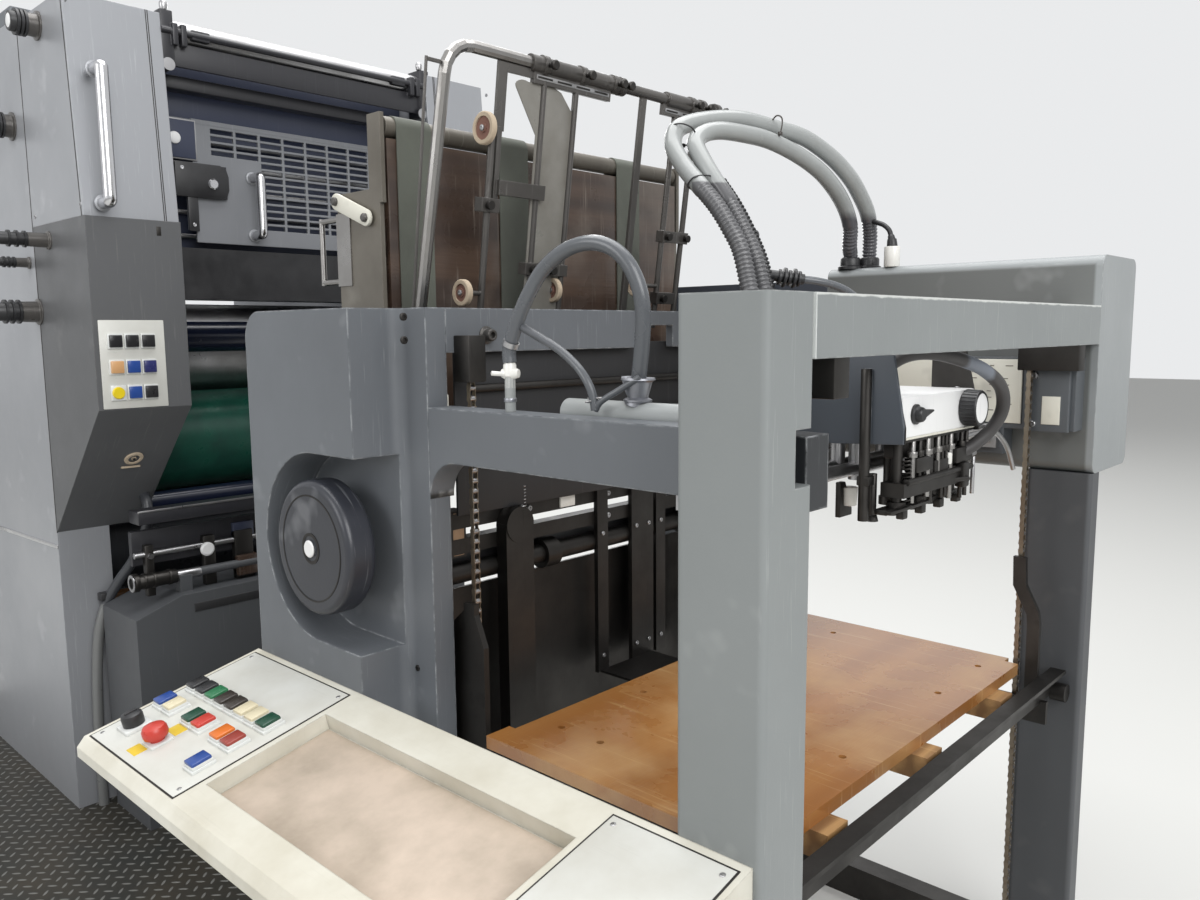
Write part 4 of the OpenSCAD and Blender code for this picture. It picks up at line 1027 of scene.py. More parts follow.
@dataclass
class Hose:
    """One hose, swept along the route of its solid, with its corrugated stretches."""

    node: str
    route: list[Point]
    radius: float
    finish: Finish
    ribbed: tuple[Spot, ...] = ()
    pitch: float = 9.0
    depth: float = 3.2
    plain_step: float = 8.0

    def narrowing(self, run: float, whole: float) -> float:
        """Gives the share of the radius at a place along the hose.

        Args:
            run: How far along it is.
            whole: The length of the hose.

        Returns:
            The share.
        """
        if not any(start <= run / whole <= end for start, end in self.ribbed):
            return 1.0
        wave = 0.5 - 0.5 * math.cos(math.tau * run / self.pitch)
        return 1.0 - self.depth / self.radius * wave

    def build(self) -> None:
        line = smooth_line(self.route, self.pitch / 4 if self.ribbed else self.plain_step)
        runs = [0.0]
        for start, end in zip(line, line[1:]):
            runs.append(runs[-1] + (end - start).length)
        curve = tube(self.node + "_skin", [place * MM for place in line], self.radius * MM, 4)
        spline = curve.splines[0]
        spline.points.foreach_set("radius", [self.narrowing(run, runs[-1]) for run in runs])
        spline.use_smooth = True
        curve.materials.append(self.finish.make())
        hose = bpy.data.objects.new(self.node + "_skin", curve)
        bpy.context.scene.collection.objects.link(hose)
        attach(hose, "root")
        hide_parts(self.node)
        LOG.info("%s: %.3f m long", self.node, runs[-1] * MM)


HOSES = [
    Hose("bundle_hose_a", [
        (2822, -40, 1362), (2788, -40, 1362), (2744, -38, 1386), (2692, -34, 1440), (2654, -30, 1508),
        (2629, -24, 1583), (2605, -20, 1660), (2578, -20, 1707), (2544, -20, 1754), (2500, -15, 1797),
        (2451, -5, 1843), (2412, 8, 1892), (2400, 45, 1935), (2413, 132, 1962), (2447, 212, 1969),
        (2481, 302, 1957), (2509, 372, 1943), (2532, 452, 1908), (2548, 512, 1867), (2552, 562, 1827),
        (2550, 607, 1786), (2543, 634, 1740), (2537, 645, 1692), (2537, 645, 1656)],
        19.0, Finish.BUNDLE, ribbed=((0.0, 0.36), (0.92, 1.0))),
    Hose("bundle_hose_b", [
        (2822, 18, 1362), (2792, 18, 1362), (2752, 19, 1384), (2702, 20, 1434), (2662, 22, 1502),
        (2634, 24, 1568), (2608, 25, 1648), (2577, 25, 1708), (2543, 25, 1763), (2506, 25, 1812),
        (2470, 30, 1860), (2445, 42, 1896), (2440, 75, 1920), (2452, 120, 1932), (2472, 185, 1931),
        (2491, 250, 1924), (2512, 330, 1902), (2528, 405, 1872), (2536, 465, 1836), (2535, 520, 1796),
        (2528, 560, 1755), (2514, 585, 1712), (2505, 607, 1690), (2505, 607, 1656)],
        19.0, Finish.BUNDLE, ribbed=((0.0, 0.37), (0.91, 1.0))),
    Hose("loop_hose", [
        (2512, -552, 1455), (2512, -552, 1478), (2530, -550, 1522), (2552, -548, 1560), (2584, -545, 1600),
        (2622, -541, 1626), (2660, -537, 1638), (2695, -532, 1638), (2726, -527, 1626), (2750, -522, 1602),
        (2765, -517, 1568), (2768, -512, 1530), (2762, -508, 1480), (2753, -505, 1432), (2750, -503.7, 1415),
        (2750, -503.7, 1397.1)], 12.0, Finish.HOSE),
    Hose("head_hose", [
        (2960, -115, 1395), (2960, -115, 1419), (2968, -108, 1445), (2994, -92, 1462), (3022, -60, 1464),
        (3042, 0, 1452), (3056, 70, 1432), (3064, 130, 1400), (3058, 160, 1358), (3040, 158, 1320),
        (3016, 136, 1290), (2990, 110, 1268), (2990, 110, 1249)], 12.0, Finish.HEAD_HOSE),
    Hose("unit_hose", [
        (750, -470, 1025.75), (767, -470, 1007.8), (777, -474, 960), (767, -486, 900), (738, -512, 826),
        (704, -542, 766), (679, -572, 700), (675, -598, 620), (675, -611, 520), (675, -618, 400),
        (675, -622, 260), (675, -622, 100), (675, -622, 70)], 15.0, Finish.UNIT_HOSE),
]


@dataclass
class SuctionHead:
    """The sheet separating head over the back edge of the pile."""

    low: Point = (2822, -150, 1318)
    high: Point = (3012, 150, 1395)
    knob_at: Point = (3012.3, 105, 1362)
    knob_radius: float = 33.0
    knob_length: float = 30.0
    ribs: int = 28
    lever_at: Point = (3012, -104, 1364)

    def build(self) -> None:
        """Makes the cover, its knob and lever, and the works below it."""
        self.make_cover()
        self.make_knob()
        self.make_works()

    def make_cover(self) -> None:
        """Makes the white cover with its lever, seams and screws."""
        cover = Piece("head_cover")
        cover.use(Finish.HEAD_WHITE).block((self.low[0], self.low[1], self.low[2] + 5), self.high, 5)
        cover.use(Finish.DARK_STEEL).block((self.low[0] + 1, self.low[1] + 1, self.low[2]),
            (self.high[0] - 1, self.high[1] - 1, self.low[2] + 6), 1)
        cover.use(Finish.CREAM).block((self.high[0] - 1, self.low[1] + 3, self.low[2] + 5),
            (self.high[0] + 1.5, self.high[1] - 3, self.low[2] + 9), 0.6)
        cover.use(Finish.BRIGHT).screws(((self.low[0] + 14, self.high[0] - 30),
            (self.low[1] + 12, self.high[1] - 12), self.high[2:]), UP, 4.5, 2.5)
        x, y, z = self.lever_at
        cover.use(Finish.BLACK).turned([(0, -2), (17, -2), (17, 4), (14, 6), (12, 14), (10, 16), (0, 16)],
            self.lever_at, FRONT, 24)
        cover.slab([(y - 13, z - 3), (y - 9, z + 7), (y + 4, z + 9), (y + 46, z + 6), (y + 48, z + 3),
            (y + 4, z - 9), (y - 9, z - 8)], Axis.X, x + 6, x + 13, 1.5)
        cover.done("suction_head")

    def make_knob(self) -> None:
        """Makes the ribbed black knob with its white face."""
        knob = Piece("setting_knob_skin", "setting_knob")
        radius, length = self.knob_radius, self.knob_length
        knob.use(Finish.BLACK).turned([(0, -28), (8, -28), (8, 0), (radius - 1, 0), (radius, 1),
            (radius - 1.5, length - 1.5), (radius - 3, length), (radius - 5.5, length),
            (radius - 5.5, length - 2), (0, length - 2)], self.knob_at, FRONT, 48)
        x, y, z = self.knob_at
        for rib in range(self.ribs):
            angle = math.tau * rib / self.ribs
            across, up = math.cos(angle), math.sin(angle)
            foot = (x + 2, y + (radius - 1.0) * across, z + (radius - 1.0) * up)
            tip = (x + length - 3, y + (radius - 2.2) * across, z + (radius - 2.2) * up)
            knob.rod(foot, tip, 1.9, sides=8, edge=0.4)
        knob.use(Finish.HEAD_WHITE).turned([(0, -4), (radius - 6, -4), (radius - 6, -1.2), (radius - 7.5, 0),
            (0, 0)], (x + length, y, z), FRONT, 40)
        knob.done("setting_knob")

    def make_works(self) -> None:
        """Makes the springs, guide pins, blowers and the small levers under the head."""
        works = Piece("head_works")
        works.use(Finish.PLATE_DARK).slab([(2815, 1308), (3019, 1318), (3019, 1345), (2997, 1468),
            (2815, 1468)], Axis.Y, -158, -152, 1)
        works.use(Finish.DARK_STEEL).rod((2954, -164, 1186), (2954, -164, 1440), 9)
        works.block((2944, -172, 1246), (2966, -150, 1262), 2)
        works.slab([(-84, 1168), (-40, 1168), (-40, 1180), (-66, 1232), (-84, 1232)], Axis.X, 2858, 2868, 1)
        works.use(Finish.PIPE_WHITE).rod((2872, -58, 1188), (2872, -58, 1222), 13, 15, edge=2)
        for y, foot, radius in ((-92, 1212, 5), (-64, 1226, 4), (-34, 1216, 6), (-18, 1204, 4), (8, 1226, 5),
                (28, 1206, 3.5), (44, 1206, 3.5), (62, 1200, 5), (112, 1194, 4), (134, 1196, 4)):
            works.use(Finish.TUBE_STEEL if radius > 4.5 else Finish.DARK_STEEL)
            works.rod((3004, y, foot), (3004, y, 1322), radius)
            works.rod((3004, y, 1290), (3004, y, 1300), radius + 3.5)
        works.coil((3000, -104, 1216), (3000, -104, 1290), 7.5, 1.4, 11)
        works.coil((2998, 84, 1232), (2998, 84, 1300), 7, 1.3, 10)
        works.use(Finish.PIPE_WHITE).rod((3001, -77, 1228), (3001, -77, 1250), 9, edge=3)
        works.rod((3001, 60, 1262), (3001, 60, 1284), 8, edge=3)
        works.use(Finish.DARK_STEEL)
        for low, high in (((2986, -84, 1262), (3010, -20, 1288)), ((2976, -8, 1250), (3008, 50, 1276)),
                          ((2978, 76, 1262), (3012, 148, 1290)), ((2966, -150, 1196), (2990, 150, 1206)),
                          ((2940, -60, 1228), (2966, 60, 1246)), ((3000, -180, 1204), (3012, -30, 1210))):
            works.block(low, high, 2.5)
        for y in (-128, -56, 20, 96):
            works.rod((2952, y, 1190), (2952, y, 1262), 7)
            works.rod((2952, y, 1180), (2952, y, 1191), 11, 8)
            works.rod((2978, y + 30, 1206), (2978, y + 30, 1300), 10)
            works.block((2964, y + 10, 1288), (2992, y + 52, 1318), 3)
            works.block((2984, y + 22, 1184), (2998, y + 40, 1200), 2)
        works.rod((3008, -120, 1250), (3008, 150, 1250), 6)
        works.rod((2990, 40, 1232), (3020, 110, 1232), 5)
        works.block((3000, 96, 1216), (3018, 122, 1262), 3)
        works.use(Finish.BRIGHT).swept([(2996, 150, 1305), (2994, 200, 1306), (2992, 258, 1306),
            (2990, 306, 1300), (2990, 350, 1282), (2990, 389, 1255), (2990, 423, 1212)], 5)
        works.rod((2990, 254, 1306), (2990, 276, 1306), 13, edge=3)
        works.rod((2994, 150, 1268), (2994, 205, 1268), 4)
        works.rod((2994, 196, 1262), (2994, 196, 1190), 4)
        works.rod((2880, -200, 1249), (2880, 60, 1262), 8)
        works.done()


@dataclass
class ScaleSheet:
    """The cream sheet with its rows of bare marks, and the bracket with a bare plate beside it."""

    sheet_low: Point = (2669, 520, 1298)
    sheet_high: Point = (2967, 526, 1437)
    rows: int = 9
    columns: int = 4

    def build(self) -> None:
        """Makes the sheet and the bracket."""
        sheet = Piece("scale_sheet")
        sheet.use(Finish.CREAM).block(self.sheet_low, self.sheet_high, 0.8)
        sheet.use(Finish.PRINTED)
        front = self.sheet_low[1]
        for row, column in product(range(self.rows), range(self.columns)):
            if (row * 5 + column * 3) % 4:
                x = self.sheet_low[0] + 150 + column * 34 + (row % 3) * 5
                z = self.sheet_low[2] + 12 + row * 14
                sheet.block((x, front - 0.3, z), (x + 9 + 7 * ((row + column) % 2), front + 0.5, z + 2.2), 0)
        for tick in range(14):
            x = self.sheet_low[0] + 20 + tick * 9
            sheet.block((x, front - 0.3, 1352 + tick * 1.4), (x + 1.5, front + 0.5, 1359 + tick * 1.4), 0)
        sheet.done("scale_plate")
        bracket = Piece("bracket_plate")
        # The bracket on the far side takes the frame grey darkened as painted shade.
        bracket.use(Finish.RAIL_DARK).block((2980, 514, 1284), (3066, 526.5, 1468), 2)
        bracket.use(Finish.CREAM).block((3012, 512.8, 1300), (3049, 514.5, 1360), 0.5)
        bracket.use(Finish.BRIGHT).screw((2995, 514, 1404), NEAR, 8, 6)
        bracket.screw((2995, 514, 1300), NEAR, 6, 4)
        bracket.done()


CONSOLE_LEFT = 1853.0
CONSOLE_SLOPE = Matrix.Translation((0, -685, 850)) @ Matrix.Rotation(math.atan2(82, 361), 4, "X")


@dataclass
class ConsoleButtons:
    """The lit push buttons, the knob and the stop mushroom on the sloping console."""

    left: float = CONSOLE_LEFT
    wide: float = 39.0
    deep: float = 44.0
    rows: tuple = (
        (-152, ((46, "BLACK"), (85, "BLACK"), (124, "GREEN"), (163, "SMOKE"), (202, "SMOKE"), (241, "IVORY"),
                (280, "IVORY"), (321, "DEEP_GREEN"))),
        (-216, ((42, "BLUE"), (82, "IVORY"), (164, "DEEP_GREEN"), (203, "RED"), (276, "ORANGE"),
                (316, "BROWN"))),
        (-281, ((320, "BLUE"), (1099, "BLACK"))),
    )

    def build(self) -> None:
        """Makes the buttons in the plane of the slope."""
        panel = Piece("console_button_set", at=CONSOLE_SLOPE)
        for y, places in self.rows:
            for offset, colour in places:
                self.add_button(panel, self.left + offset, y, Finish["BUTTON_" + colour])
        self.add_stop(panel)
        panel.done("console_buttons")

    def add_button(self, panel: Piece, x: float, y: float, finish: Finish) -> None:
        """Adds one square button with its bezel.

        Args:
            panel: The piece that it belongs to.
            x: Its middle along the console.
            y: Its middle down the slope.
            finish: The finish of its cap.
        """
        across, down = self.wide / 2, self.deep / 2
        panel.use(Finish.BEZEL).block((x - across - 0.6, y - down - 0.6, -1),
            (x + across + 0.6, y + down + 0.6, 2), 0.5)
        panel.use(Finish.LENS).block((x - across + 0.6, y - down, 0), (x + across - 0.6, y + down, 7), 1.5)
        panel.block((x - across + 3, y - down + 3, 5), (x + across - 3, y + down - 3, 13), 2)
        panel.use(finish).block((x - across + 4, y - down + 4, 10), (x + across - 4, y + down - 4, 18), 2.5)

    def add_stop(self, panel: Piece) -> None:
        """Adds the knob, the stop mushroom and the two yellow plates beside it.

        Args:
            panel: The piece that they belong to.
        """
        left = self.left
        knob = (left + 68, -288, 0)
        panel.use(Finish.LENS).block((left + 43, -313, -1), (left + 93, -263, 8), 3)
        panel.use(Finish.BLACK).turned([(0, 2), (17, 2), (19, 5), (19.5, 24), (18, 29), (11, 32), (0, 32.5)],
            knob, UP, 32)
        panel.block((knob[0] - 3, knob[1] - 12, 26), (knob[0] + 3, knob[1] + 12, 35), 1.5)
        stop = (left + 167, -287, 0)
        panel.use(Finish.LENS).block((left + 146, -308, -1), (left + 188, -266, 6), 3)
        panel.use(Finish.BUTTON_RED).turned([(0, 4), (13, 4), (14, 12), (21, 14), (22.5, 19), (22, 28),
            (19, 33), (11, 36), (0, 37)], stop, UP, 40)
        panel.use(Finish.YELLOW).block((left + 138, -333, 0.5), (left + 174, -309, 2.2), 0.4)
        panel.block((left + 142, -262, 0.5), (left + 180, -238, 2.2), 0.4)


@dataclass
class ConsoleTray:
    """The floor of the console's pan and the plates with their screws at both ends."""

    left: float = CONSOLE_LEFT
    right: float = 3088.0

    def build(self) -> None:
        """Makes the floor and the plates."""
        trim = Piece("console_trim", at=CONSOLE_SLOPE)
        trim.use(Finish.MAT).block((2238, -296, -30.5), (2852, -79, -27), 1)
        for low, high in ((self.left + 14, 2218), (2872, self.right - 12)):
            trim.use(Finish.DARK_STEEL).block((low - 3, -351, -1), (high + 3, -13, 1.0), 0)
            trim.use(Finish.CONSOLE_PLATE).block((low, -348, -1), (high, -16, 1.6), 0.5)
        trim.use(Finish.BRIGHT).screws(((self.left + 26, 2206, 2884, self.right - 24), (-30, -332), (1,)), UP,
            4, 1.5)
        trim.done()


@dataclass
class HoseFittings:
    """The glands, ties, clamps and valves on the hoses and on the white air pipe."""

    head_glands: tuple[Point, ...] = ((2822, -40, 1362), (2822, 18, 1362))
    housing_glands: tuple[Point, ...] = ((2537, 645, 1656), (2505, 607, 1656))

    def build(self) -> None:
        """Makes the fittings of the bundle and of the loop, and the plug with the ringed cable."""
        self.make_bundle_fittings()
        self.make_loop_fittings()
        self.make_connector()

    def make_bundle_fittings(self) -> None:
        """Makes the glands at both ends of the bundle and the ties round it."""
        glands = Piece("bundle_glands")
        glands.use(Finish.BLACK)
        for at in self.head_glands:
            glands.turned([(19.6, -1), (27, -1), (27, 8), (24, 12), (24, 20), (19.6, 22)], at, BACK)
        for at in self.housing_glands:
            glands.turned([(19.6, -1), (30, -1), (30, 5), (25, 8), (25, 24), (22, 28), (19.6, 28)], at, UP)
        self.add_tie(glands, (2492, 8, 1805), (-0.62, 0.06, 0.78), (0.06, 1, 0), 43, 21.5)
        self.add_tie(glands, (2416, 34, 1917), (-0.1, 0.5, 0.35), (0.9, 0.1, -0.3), 30, 24)
        glands.use(Finish.BUTTON_SMOKE)
        self.add_tie(glands, (2493, 268, 1946), (0.3, 1, -0.1), (0.4, 0, 0.9), 34, 22)
        glands.done()

    @staticmethod
    def add_tie(piece: Piece, at: Point, along: Point, wide: Point, half: float, radius: float) -> None:
        """Adds a cable tie round two hoses.

        Args:
            piece: The piece that it belongs to.
            at: Its middle.
            along: The way that the hoses run.
            wide: The way from one hose to the other.
            half: Half its width.
            radius: Half its thickness.
        """
        run = Vector(along).normalized()
        side = (Vector(wide) - run * Vector(wide).dot(run)).normalized()
        rise = run.cross(side)
        loop, steps = [], 24
        for step in range(steps + 1):
            angle = math.tau * step / steps
            flat = max(-1.0, min(1.0, math.cos(angle) * 1.25))
            reach = (half - radius) * flat + radius * math.cos(angle)
            loop.append(Vector(at) + side * reach + rise * radius * math.sin(angle))
        piece.swept(loop, 1.8, 1)
        knot, corner = Vector(at) + rise * (radius + 1), Vector((4, 4, 4))
        piece.block(knot - corner, knot + corner, 1)

    def make_loop_fittings(self) -> None:
        """Makes the white valve, the clamps and the seat of the loop hose on the air pipe."""
        loop = Piece("loop_fittings")
        loop.use(Finish.PIPE_WHITE).turned([(0, 40), (9, 40), (9, 58), (11, 60), (11, 78), (9, 82), (0, 82)],
            (2512, -552, 1373), UP)
        loop.turned([(0, -14), (7, -14), (10, -8), (10, 8), (7, 16), (0, 17)], (2512, -552, 1437),
            (0.9, 0.4, 0), 24)
        loop.rod((2508, -562, 1436), (2500, -582, 1438), 4)
        loop.use(Finish.CLAMP).rod((2512, -552, 1366), (2512, -552, 1414), 8)
        loop.rod((2512, -552, 1390), (2512, -552, 1396), 11)
        loop.use(Finish.BRIGHT).ring(12.2, 13.8, 0, 9, (2514, -552, 1482), (0.5, 0, 1))
        loop.use(Finish.CLAMP).turned([(12.3, 0), (26, 0), (27, 3), (22, 6), (16, 30), (22, 33), (22, 36),
            (12.3, 36)], (2751, -504, 1434), (-0.02, 0, -1))
        loop.slab([(2722, 1436), (2734, 1436), (2738, 1424), (2746, 1404), (2736, 1402), (2728, 1416)],
            Axis.Y, -511, -497, 1)
        loop.rod((2748, -504, 1392), (2752, -504, 1406), 20, 15, edge=1)
        loop.use(Finish.HOSE).swept([(2539, -545, 1512), (2586, -548, 1494), (2629, -549, 1475),
            (2666, -549, 1450), (2687, -548, 1426), (2696, -546, 1404), (2700, -546, 1384)], 7)
        loop.swept([(2700, -546, 1384), (2710, -544, 1398), (2738, -534, 1416), (2768, -520, 1436)], 5)
        loop.use(Finish.BRIGHT)
        for z in (1402, 1396):
            loop.rod((2684, -546, z), (2714, -546, z + 2), 1.6)
        loop.rod((2694, -562, 1398), (2702, -530, 1400), 1.6)
        loop.done()

    def make_connector(self) -> None:
        """Makes the plug and its cable on the drive housing, and the ringed cable behind the crossbar."""
        plug = Piece("housing_plug")
        plug.use(Finish.PIPE_WHITE).rod((2620, 600, 1655), (2620, 600, 1704), 19, edge=2)
        plug.use(Finish.BLACK).rod((2620, 600, 1703), (2618, 601, 1722), 13, 11)
        plug.rod((2618, 601, 1720), (2614, 604, 1730), 9, 8)
        plug.swept([(2615, 603, 1728), (2608, 606, 1744), (2592, 608, 1758), (2572, 609, 1766),
            (2548, 612, 1776)], 6)
        plug.done()
        ringed = Piece("ringed_cable")
        ringed.use(Finish.BLACK)
        slim = [(2506, 52, 1812), (2543, 54, 1763), (2577, 54, 1708), (2608, 54, 1648), (2634, 52, 1568),
                (2662, 50, 1502), (2700, 40, 1440), (2760, 22, 1396), (2810, 18, 1372)]
        ringed.swept(slim, 8)
        line = smooth_line(slim, 9.0)
        for first, second in zip(line, line[1:]):
            ringed.rod(first, first + (second - first) * 0.45, 10.5, sides=14, edge=0.5)
        ringed.turned([(0, -12), (10, -12), (13, -6), (13, 6), (10, 12), (0, 12)], (2560, 84, 1700),
            (0.3, 1, 0.2), 20)
        for step in range(5):
            ringed.rod((2632 + step * 7, 72 + step * 7, 1612 - step),
                (2636 + step * 7, 76 + step * 7, 1611 - step), 20 if step % 2 else 16, sides=24)
        ringed.rod((2618, 60, 1616), (2670, 110, 1606), 11)
        ringed.use(Finish.HOSE).swept([(2664, 104, 1607), (2690, 136, 1602), (2716, 176, 1590),
            (2736, 210, 1566), (2748, 232, 1524), (2756, 244, 1440), (2780, 250, 1396)], 8)
        ringed.use(Finish.PIPE_WHITE).rod((2552, 92, 1704), (2546, 104, 1708), 5)
        ringed.done()


@dataclass
class HoldDown:
    """The hanging sheet, the wheels, the clamps and the levers of the hold-down frame."""

    lean: float = 8.0
    top: float = 838.0
    wheels: tuple = ((-348, 695, 32), (-378, 372, 27), (-126, 384, 27), (155, 403, 27))

    def build(self) -> None:
        """Makes the pieces in the plane of the bars."""
        frame = (Matrix.Translation((2060, 0, 1225)) @ Matrix.Rotation(math.radians(self.lean), 4, "Y")
                 @ Matrix.Translation((60, 0, 0)))
        self.make_sheet(frame)
        self.make_wheels(frame)
        self.make_clamps(frame)
        self.make_lever()

    def make_lever(self) -> None:
        """Makes a cream lever arm with its pivots on each side of the table."""
        lever = Piece("table_levers", "table")
        for side in SIDES:
            first, last = Vector((1905, side * 484, 1780)), Vector((2012, side * 484, 1738))
            run = (last - first).normalized()
            outline = []
            for middle, turn in ((last, -0.5), (first, 0.5)):
                for step in range(9):
                    angle = math.pi * (turn + step / 8) + math.atan2(run.z, run.x)
                    outline.append((middle.x + 17 * math.cos(angle), middle.z + 17 * math.sin(angle)))
            lever.use(Finish.CREAM).slab(outline, Axis.Y, *span(side, 482, 489), 1.5)
            lever.use(Finish.HOLD_STEEL)
            for spot in (first, last):
                lever.cap(9, 6, 6, 9, (spot.x, side * 488, spot.z), (0, side, 0), 20)
        lever.done()

    def make_sheet(self, frame: Matrix) -> None:
        """Makes the sheet that hangs from the top bar.

        Args:
            frame: The plane of the bars.
        """
        corners = [(-105, 760), (-105, 300), (-205, 300), (-205, 700), (-262, 778)]
        for step in range(7):
            angle = math.radians(200 - step * 24)
            corners.append((-247 + 22 * math.cos(angle), 790 + 12 * math.sin(angle)))
        corners.extend([(-165, 802), (-140, 794)])
        sheet = Piece("hanging_sheet", "table", frame)
        sheet.use(Finish.SHEET).slab(corners, Axis.X, -1.5, 0.5, 0.4)
        sheet.done()

    def make_wheels(self, frame: Matrix) -> None:
        """Makes the soft rimmed wheels with their hubs.

        Args:
            frame: The plane of the bars.
        """
        wheels = Piece("soft_wheels", "table", frame)
        for y, z, radius in self.wheels:
            wheels.use(Finish.RIM).turned([(radius - 9, 0.5), (radius - 2, 0.5), (radius, 2.5),
                (radius, 11.5), (radius - 2, 13.5), (radius - 9, 13.5), (radius - 9, 0.5)], (0, y, z), FAR,
                40)
            wheels.use(Finish.HUB).turned([(0, 1), (9, 1), (9, 4), (radius - 8.5, 4), (radius - 8.5, 10),
                (9, 10), (9, 13), (0, 13)], (0, y, z), FAR, 32)
            wheels.use(Finish.BRIGHT).screw((0, y, z), NEAR, 6, 2)
        wheels.done("hold_down_wheels")

    def make_clamps(self, frame: Matrix) -> None:
        """Makes the thumb knobs, screws and slotted guides on the bars.

        Args:
            frame: The plane of the bars.
        """
        clamps = Piece("hold_down_clamps", "table", frame)
        clamps.use(Finish.DARK_STEEL)
        for y in (-197, -87, 14, 40, 294, 335, 396):
            clamps.rod((14, y, self.top), (34, y, self.top), 5)
            clamps.turned([(0, 0), (9, 0), (10, 2), (10, 8), (8, 10), (0, 10)], (30, y, self.top), FRONT, 16)
        for y, z in ((-197, 427), (-140, 427), (-330, 549), (245, 524), (316, 524), (250, 374)):
            clamps.turned([(0, 0), (6, 0), (9, 4), (9, 12), (0, 12)], (12, y, z), FRONT, 16)
        clamps.use(Finish.BRIGHT)
        for low, high in ((-225, 5), (190, 325)):
            clamps.block((-4, low + 6, self.top - 30), (7.2, high - 6, self.top - 20), 1)
        clamps.use(Finish.DARK_STEEL)
        for low in (-216, -160, -104, -48, 200, 262):
            clamps.block((5, low, self.top - 27), (7.6, low + 42, self.top - 23), 0.5)
        clamps.done()


@dataclass
class HoistChains:
    """The four roller chains that carry the pile, with the blocks at both ends of each."""

    depth: float = 498.0
    runs: tuple = ((2345, (2322, 2365, 1500)), (2990, (2970, 3092, 1542)))
    pitch: float = 19.05
    low: float = 90.0
    high: float = 1426.0

    def build(self) -> None:
        """Makes the chains."""
        chains = Piece("link_chains")
        for side in SIDES:
            for x, block in self.runs:
                self.add_run(chains, x, side * self.depth)
                chains.use(Finish.DARK_STEEL).block((block[0], side * self.depth - 20, 1415.5),
                    (block[1], side * self.depth + 20, block[2]), 2)
                inner, outer = span(side, self.depth - 6, 579)
                chains.block((x - 20, inner, 40), (x + 20, outer, 95), 2)
        chains.done("hoist_chains")

    def add_run(self, chains: Piece, x: float, y: float) -> None:
        """Adds one chain.

        Args:
            chains: The piece that it belongs to.
            x: Its place along the press.
            y: Its place across.
        """
        count = int((self.high - self.low) / self.pitch)
        for step in range(count):
            z = self.low + step * self.pitch
            chains.use(Finish.BRIGHT).rod((x, y - 6, z), (x, y + 6, z), 5.6, sides=10, edge=0)
            chains.use(Finish.CHAIN)
            wide = 4.2 if step % 2 else 5.6
            waist = [(x - 5.6, z - 3), (x - 2.8, z - 6.5), (x + 2.8, z - 6.5), (x + 5.6, z - 3),
                (x + 4, z + 9.5), (x + 5.6, z + 22), (x + 2.8, z + 25.5), (x - 2.8, z + 25.5),
                (x - 5.6, z + 22), (x - 4, z + 9.5)]
            for side in SIDES:
                low, high = sorted((y + side * wide, y + side * (wide + 1.3)))
                chains.slab(waist, Axis.Y, low, high, 0)


@dataclass
class Feeder:
    """The fine pieces of the feeder: screws on its frame, the handwheel's cap and what fills the pile bay."""

    wheel_at: Point = (2097, -693, 1102)
    bay_half: float = 462.0

    def build(self) -> None:
        """Makes the pieces on the outer frame and those in the pile bay."""
        self.make_frame_screws()
        self.make_wheel_cap()
        self.make_bay()

    def make_frame_screws(self) -> None:
        """Makes the screws and covers on the columns, the rail and the front casting."""
        screws = Piece("feeder_screws")
        screws.use(Finish.HOLD_STEEL).turned([(0, -2), (17, -2), (17, 2), (14, 4), (0, 4)],
            (2322, -440, 1500), FRONT)
        screws.screw((2326, -440, 1500), FRONT, 12, 16)
        screws.use(Finish.DARK_STEEL).screw((2267, -580, 878), NEAR, 6, 2)
        screws.screws(((2322,), (-626,), (1493, 1533)), FRONT, 7, 3)
        screws.use(Finish.CREAM).slab([(2250, 1236), (2322, 1236), (2322, 1392), (2300, 1410), (2264, 1410),
            (2250, 1398)], Axis.Y, -536, -532, 1)
        screws.done()

    def make_wheel_cap(self) -> None:
        """Makes the white cap and the grip ring of the handwheel."""
        x, y, z = self.wheel_at
        cap = Piece("handwheel_cap", "handwheel")
        cap.use(Finish.HEAD_WHITE).cap(16.5, 2, 14.5, 3.6, (x, y - 2.5, z), NEAR, 40)
        cap.use(Finish.DARK_STEEL).ring(24, 30, -0.5, 1, self.wheel_at, NEAR, 48)
        cap.ring(100, 103, -0.5, 0.7, self.wheel_at, NEAR, 64)
        cap.done()

    def make_bay(self) -> None:
        """Makes the felt pads, spring rod, bolts, plates and cross rods inside the pile bay."""
        bay = Piece("bay_fittings")
        bay.use(Finish.FELT)
        for y in (-483, 483):
            bay.block((2240, y - 14, 1078), (2279, y + 14, 1163), 3)
        bay.use(Finish.BRIGHT).rod((2288, -327, 1080), (2288, -327, 1226), 5)
        bay.coil((2288, -327, 1120), (2288, -327, 1200), 9, 1.6, 12)
        bay.screws(((2280,), (-300, -60, 60, 300), (1146, 1096)), FRONT, 6, 4)
        bay.screws(((2290,), (-88, 26, 70, 115, 217), (780, 1060)), FRONT, 5, 3)
        # The two black plates stand in for the shaded depth of the pile bay: painted shade.
        bay.use(Finish.INTERIOR).block((2292, -498, 1160), (2298, 473, 1482), 1)
        bay.block((2236, -556, 1020), (2244, 556, 1098), 1)
        bay.use(Finish.DARK_STEEL).bar(2298, 1262, self.bay_half, 13)
        bay.bar(2306, 1400, self.bay_half, 8)
        bay.use(Finish.BRIGHT).bar(2310, 1330, self.bay_half, 6)
        for y in (-440, -220, 0, 220, 420):
            bay.rod((2298, y, 1262), (2298, y + 34, 1262), 17, sides=24)
        bay.use(Finish.PIPE_WHITE)
        for y in (-190, 170):
            bay.block((2272, y - 22, 1134), (2284, y + 22, 1158), 2)
        bay.done()


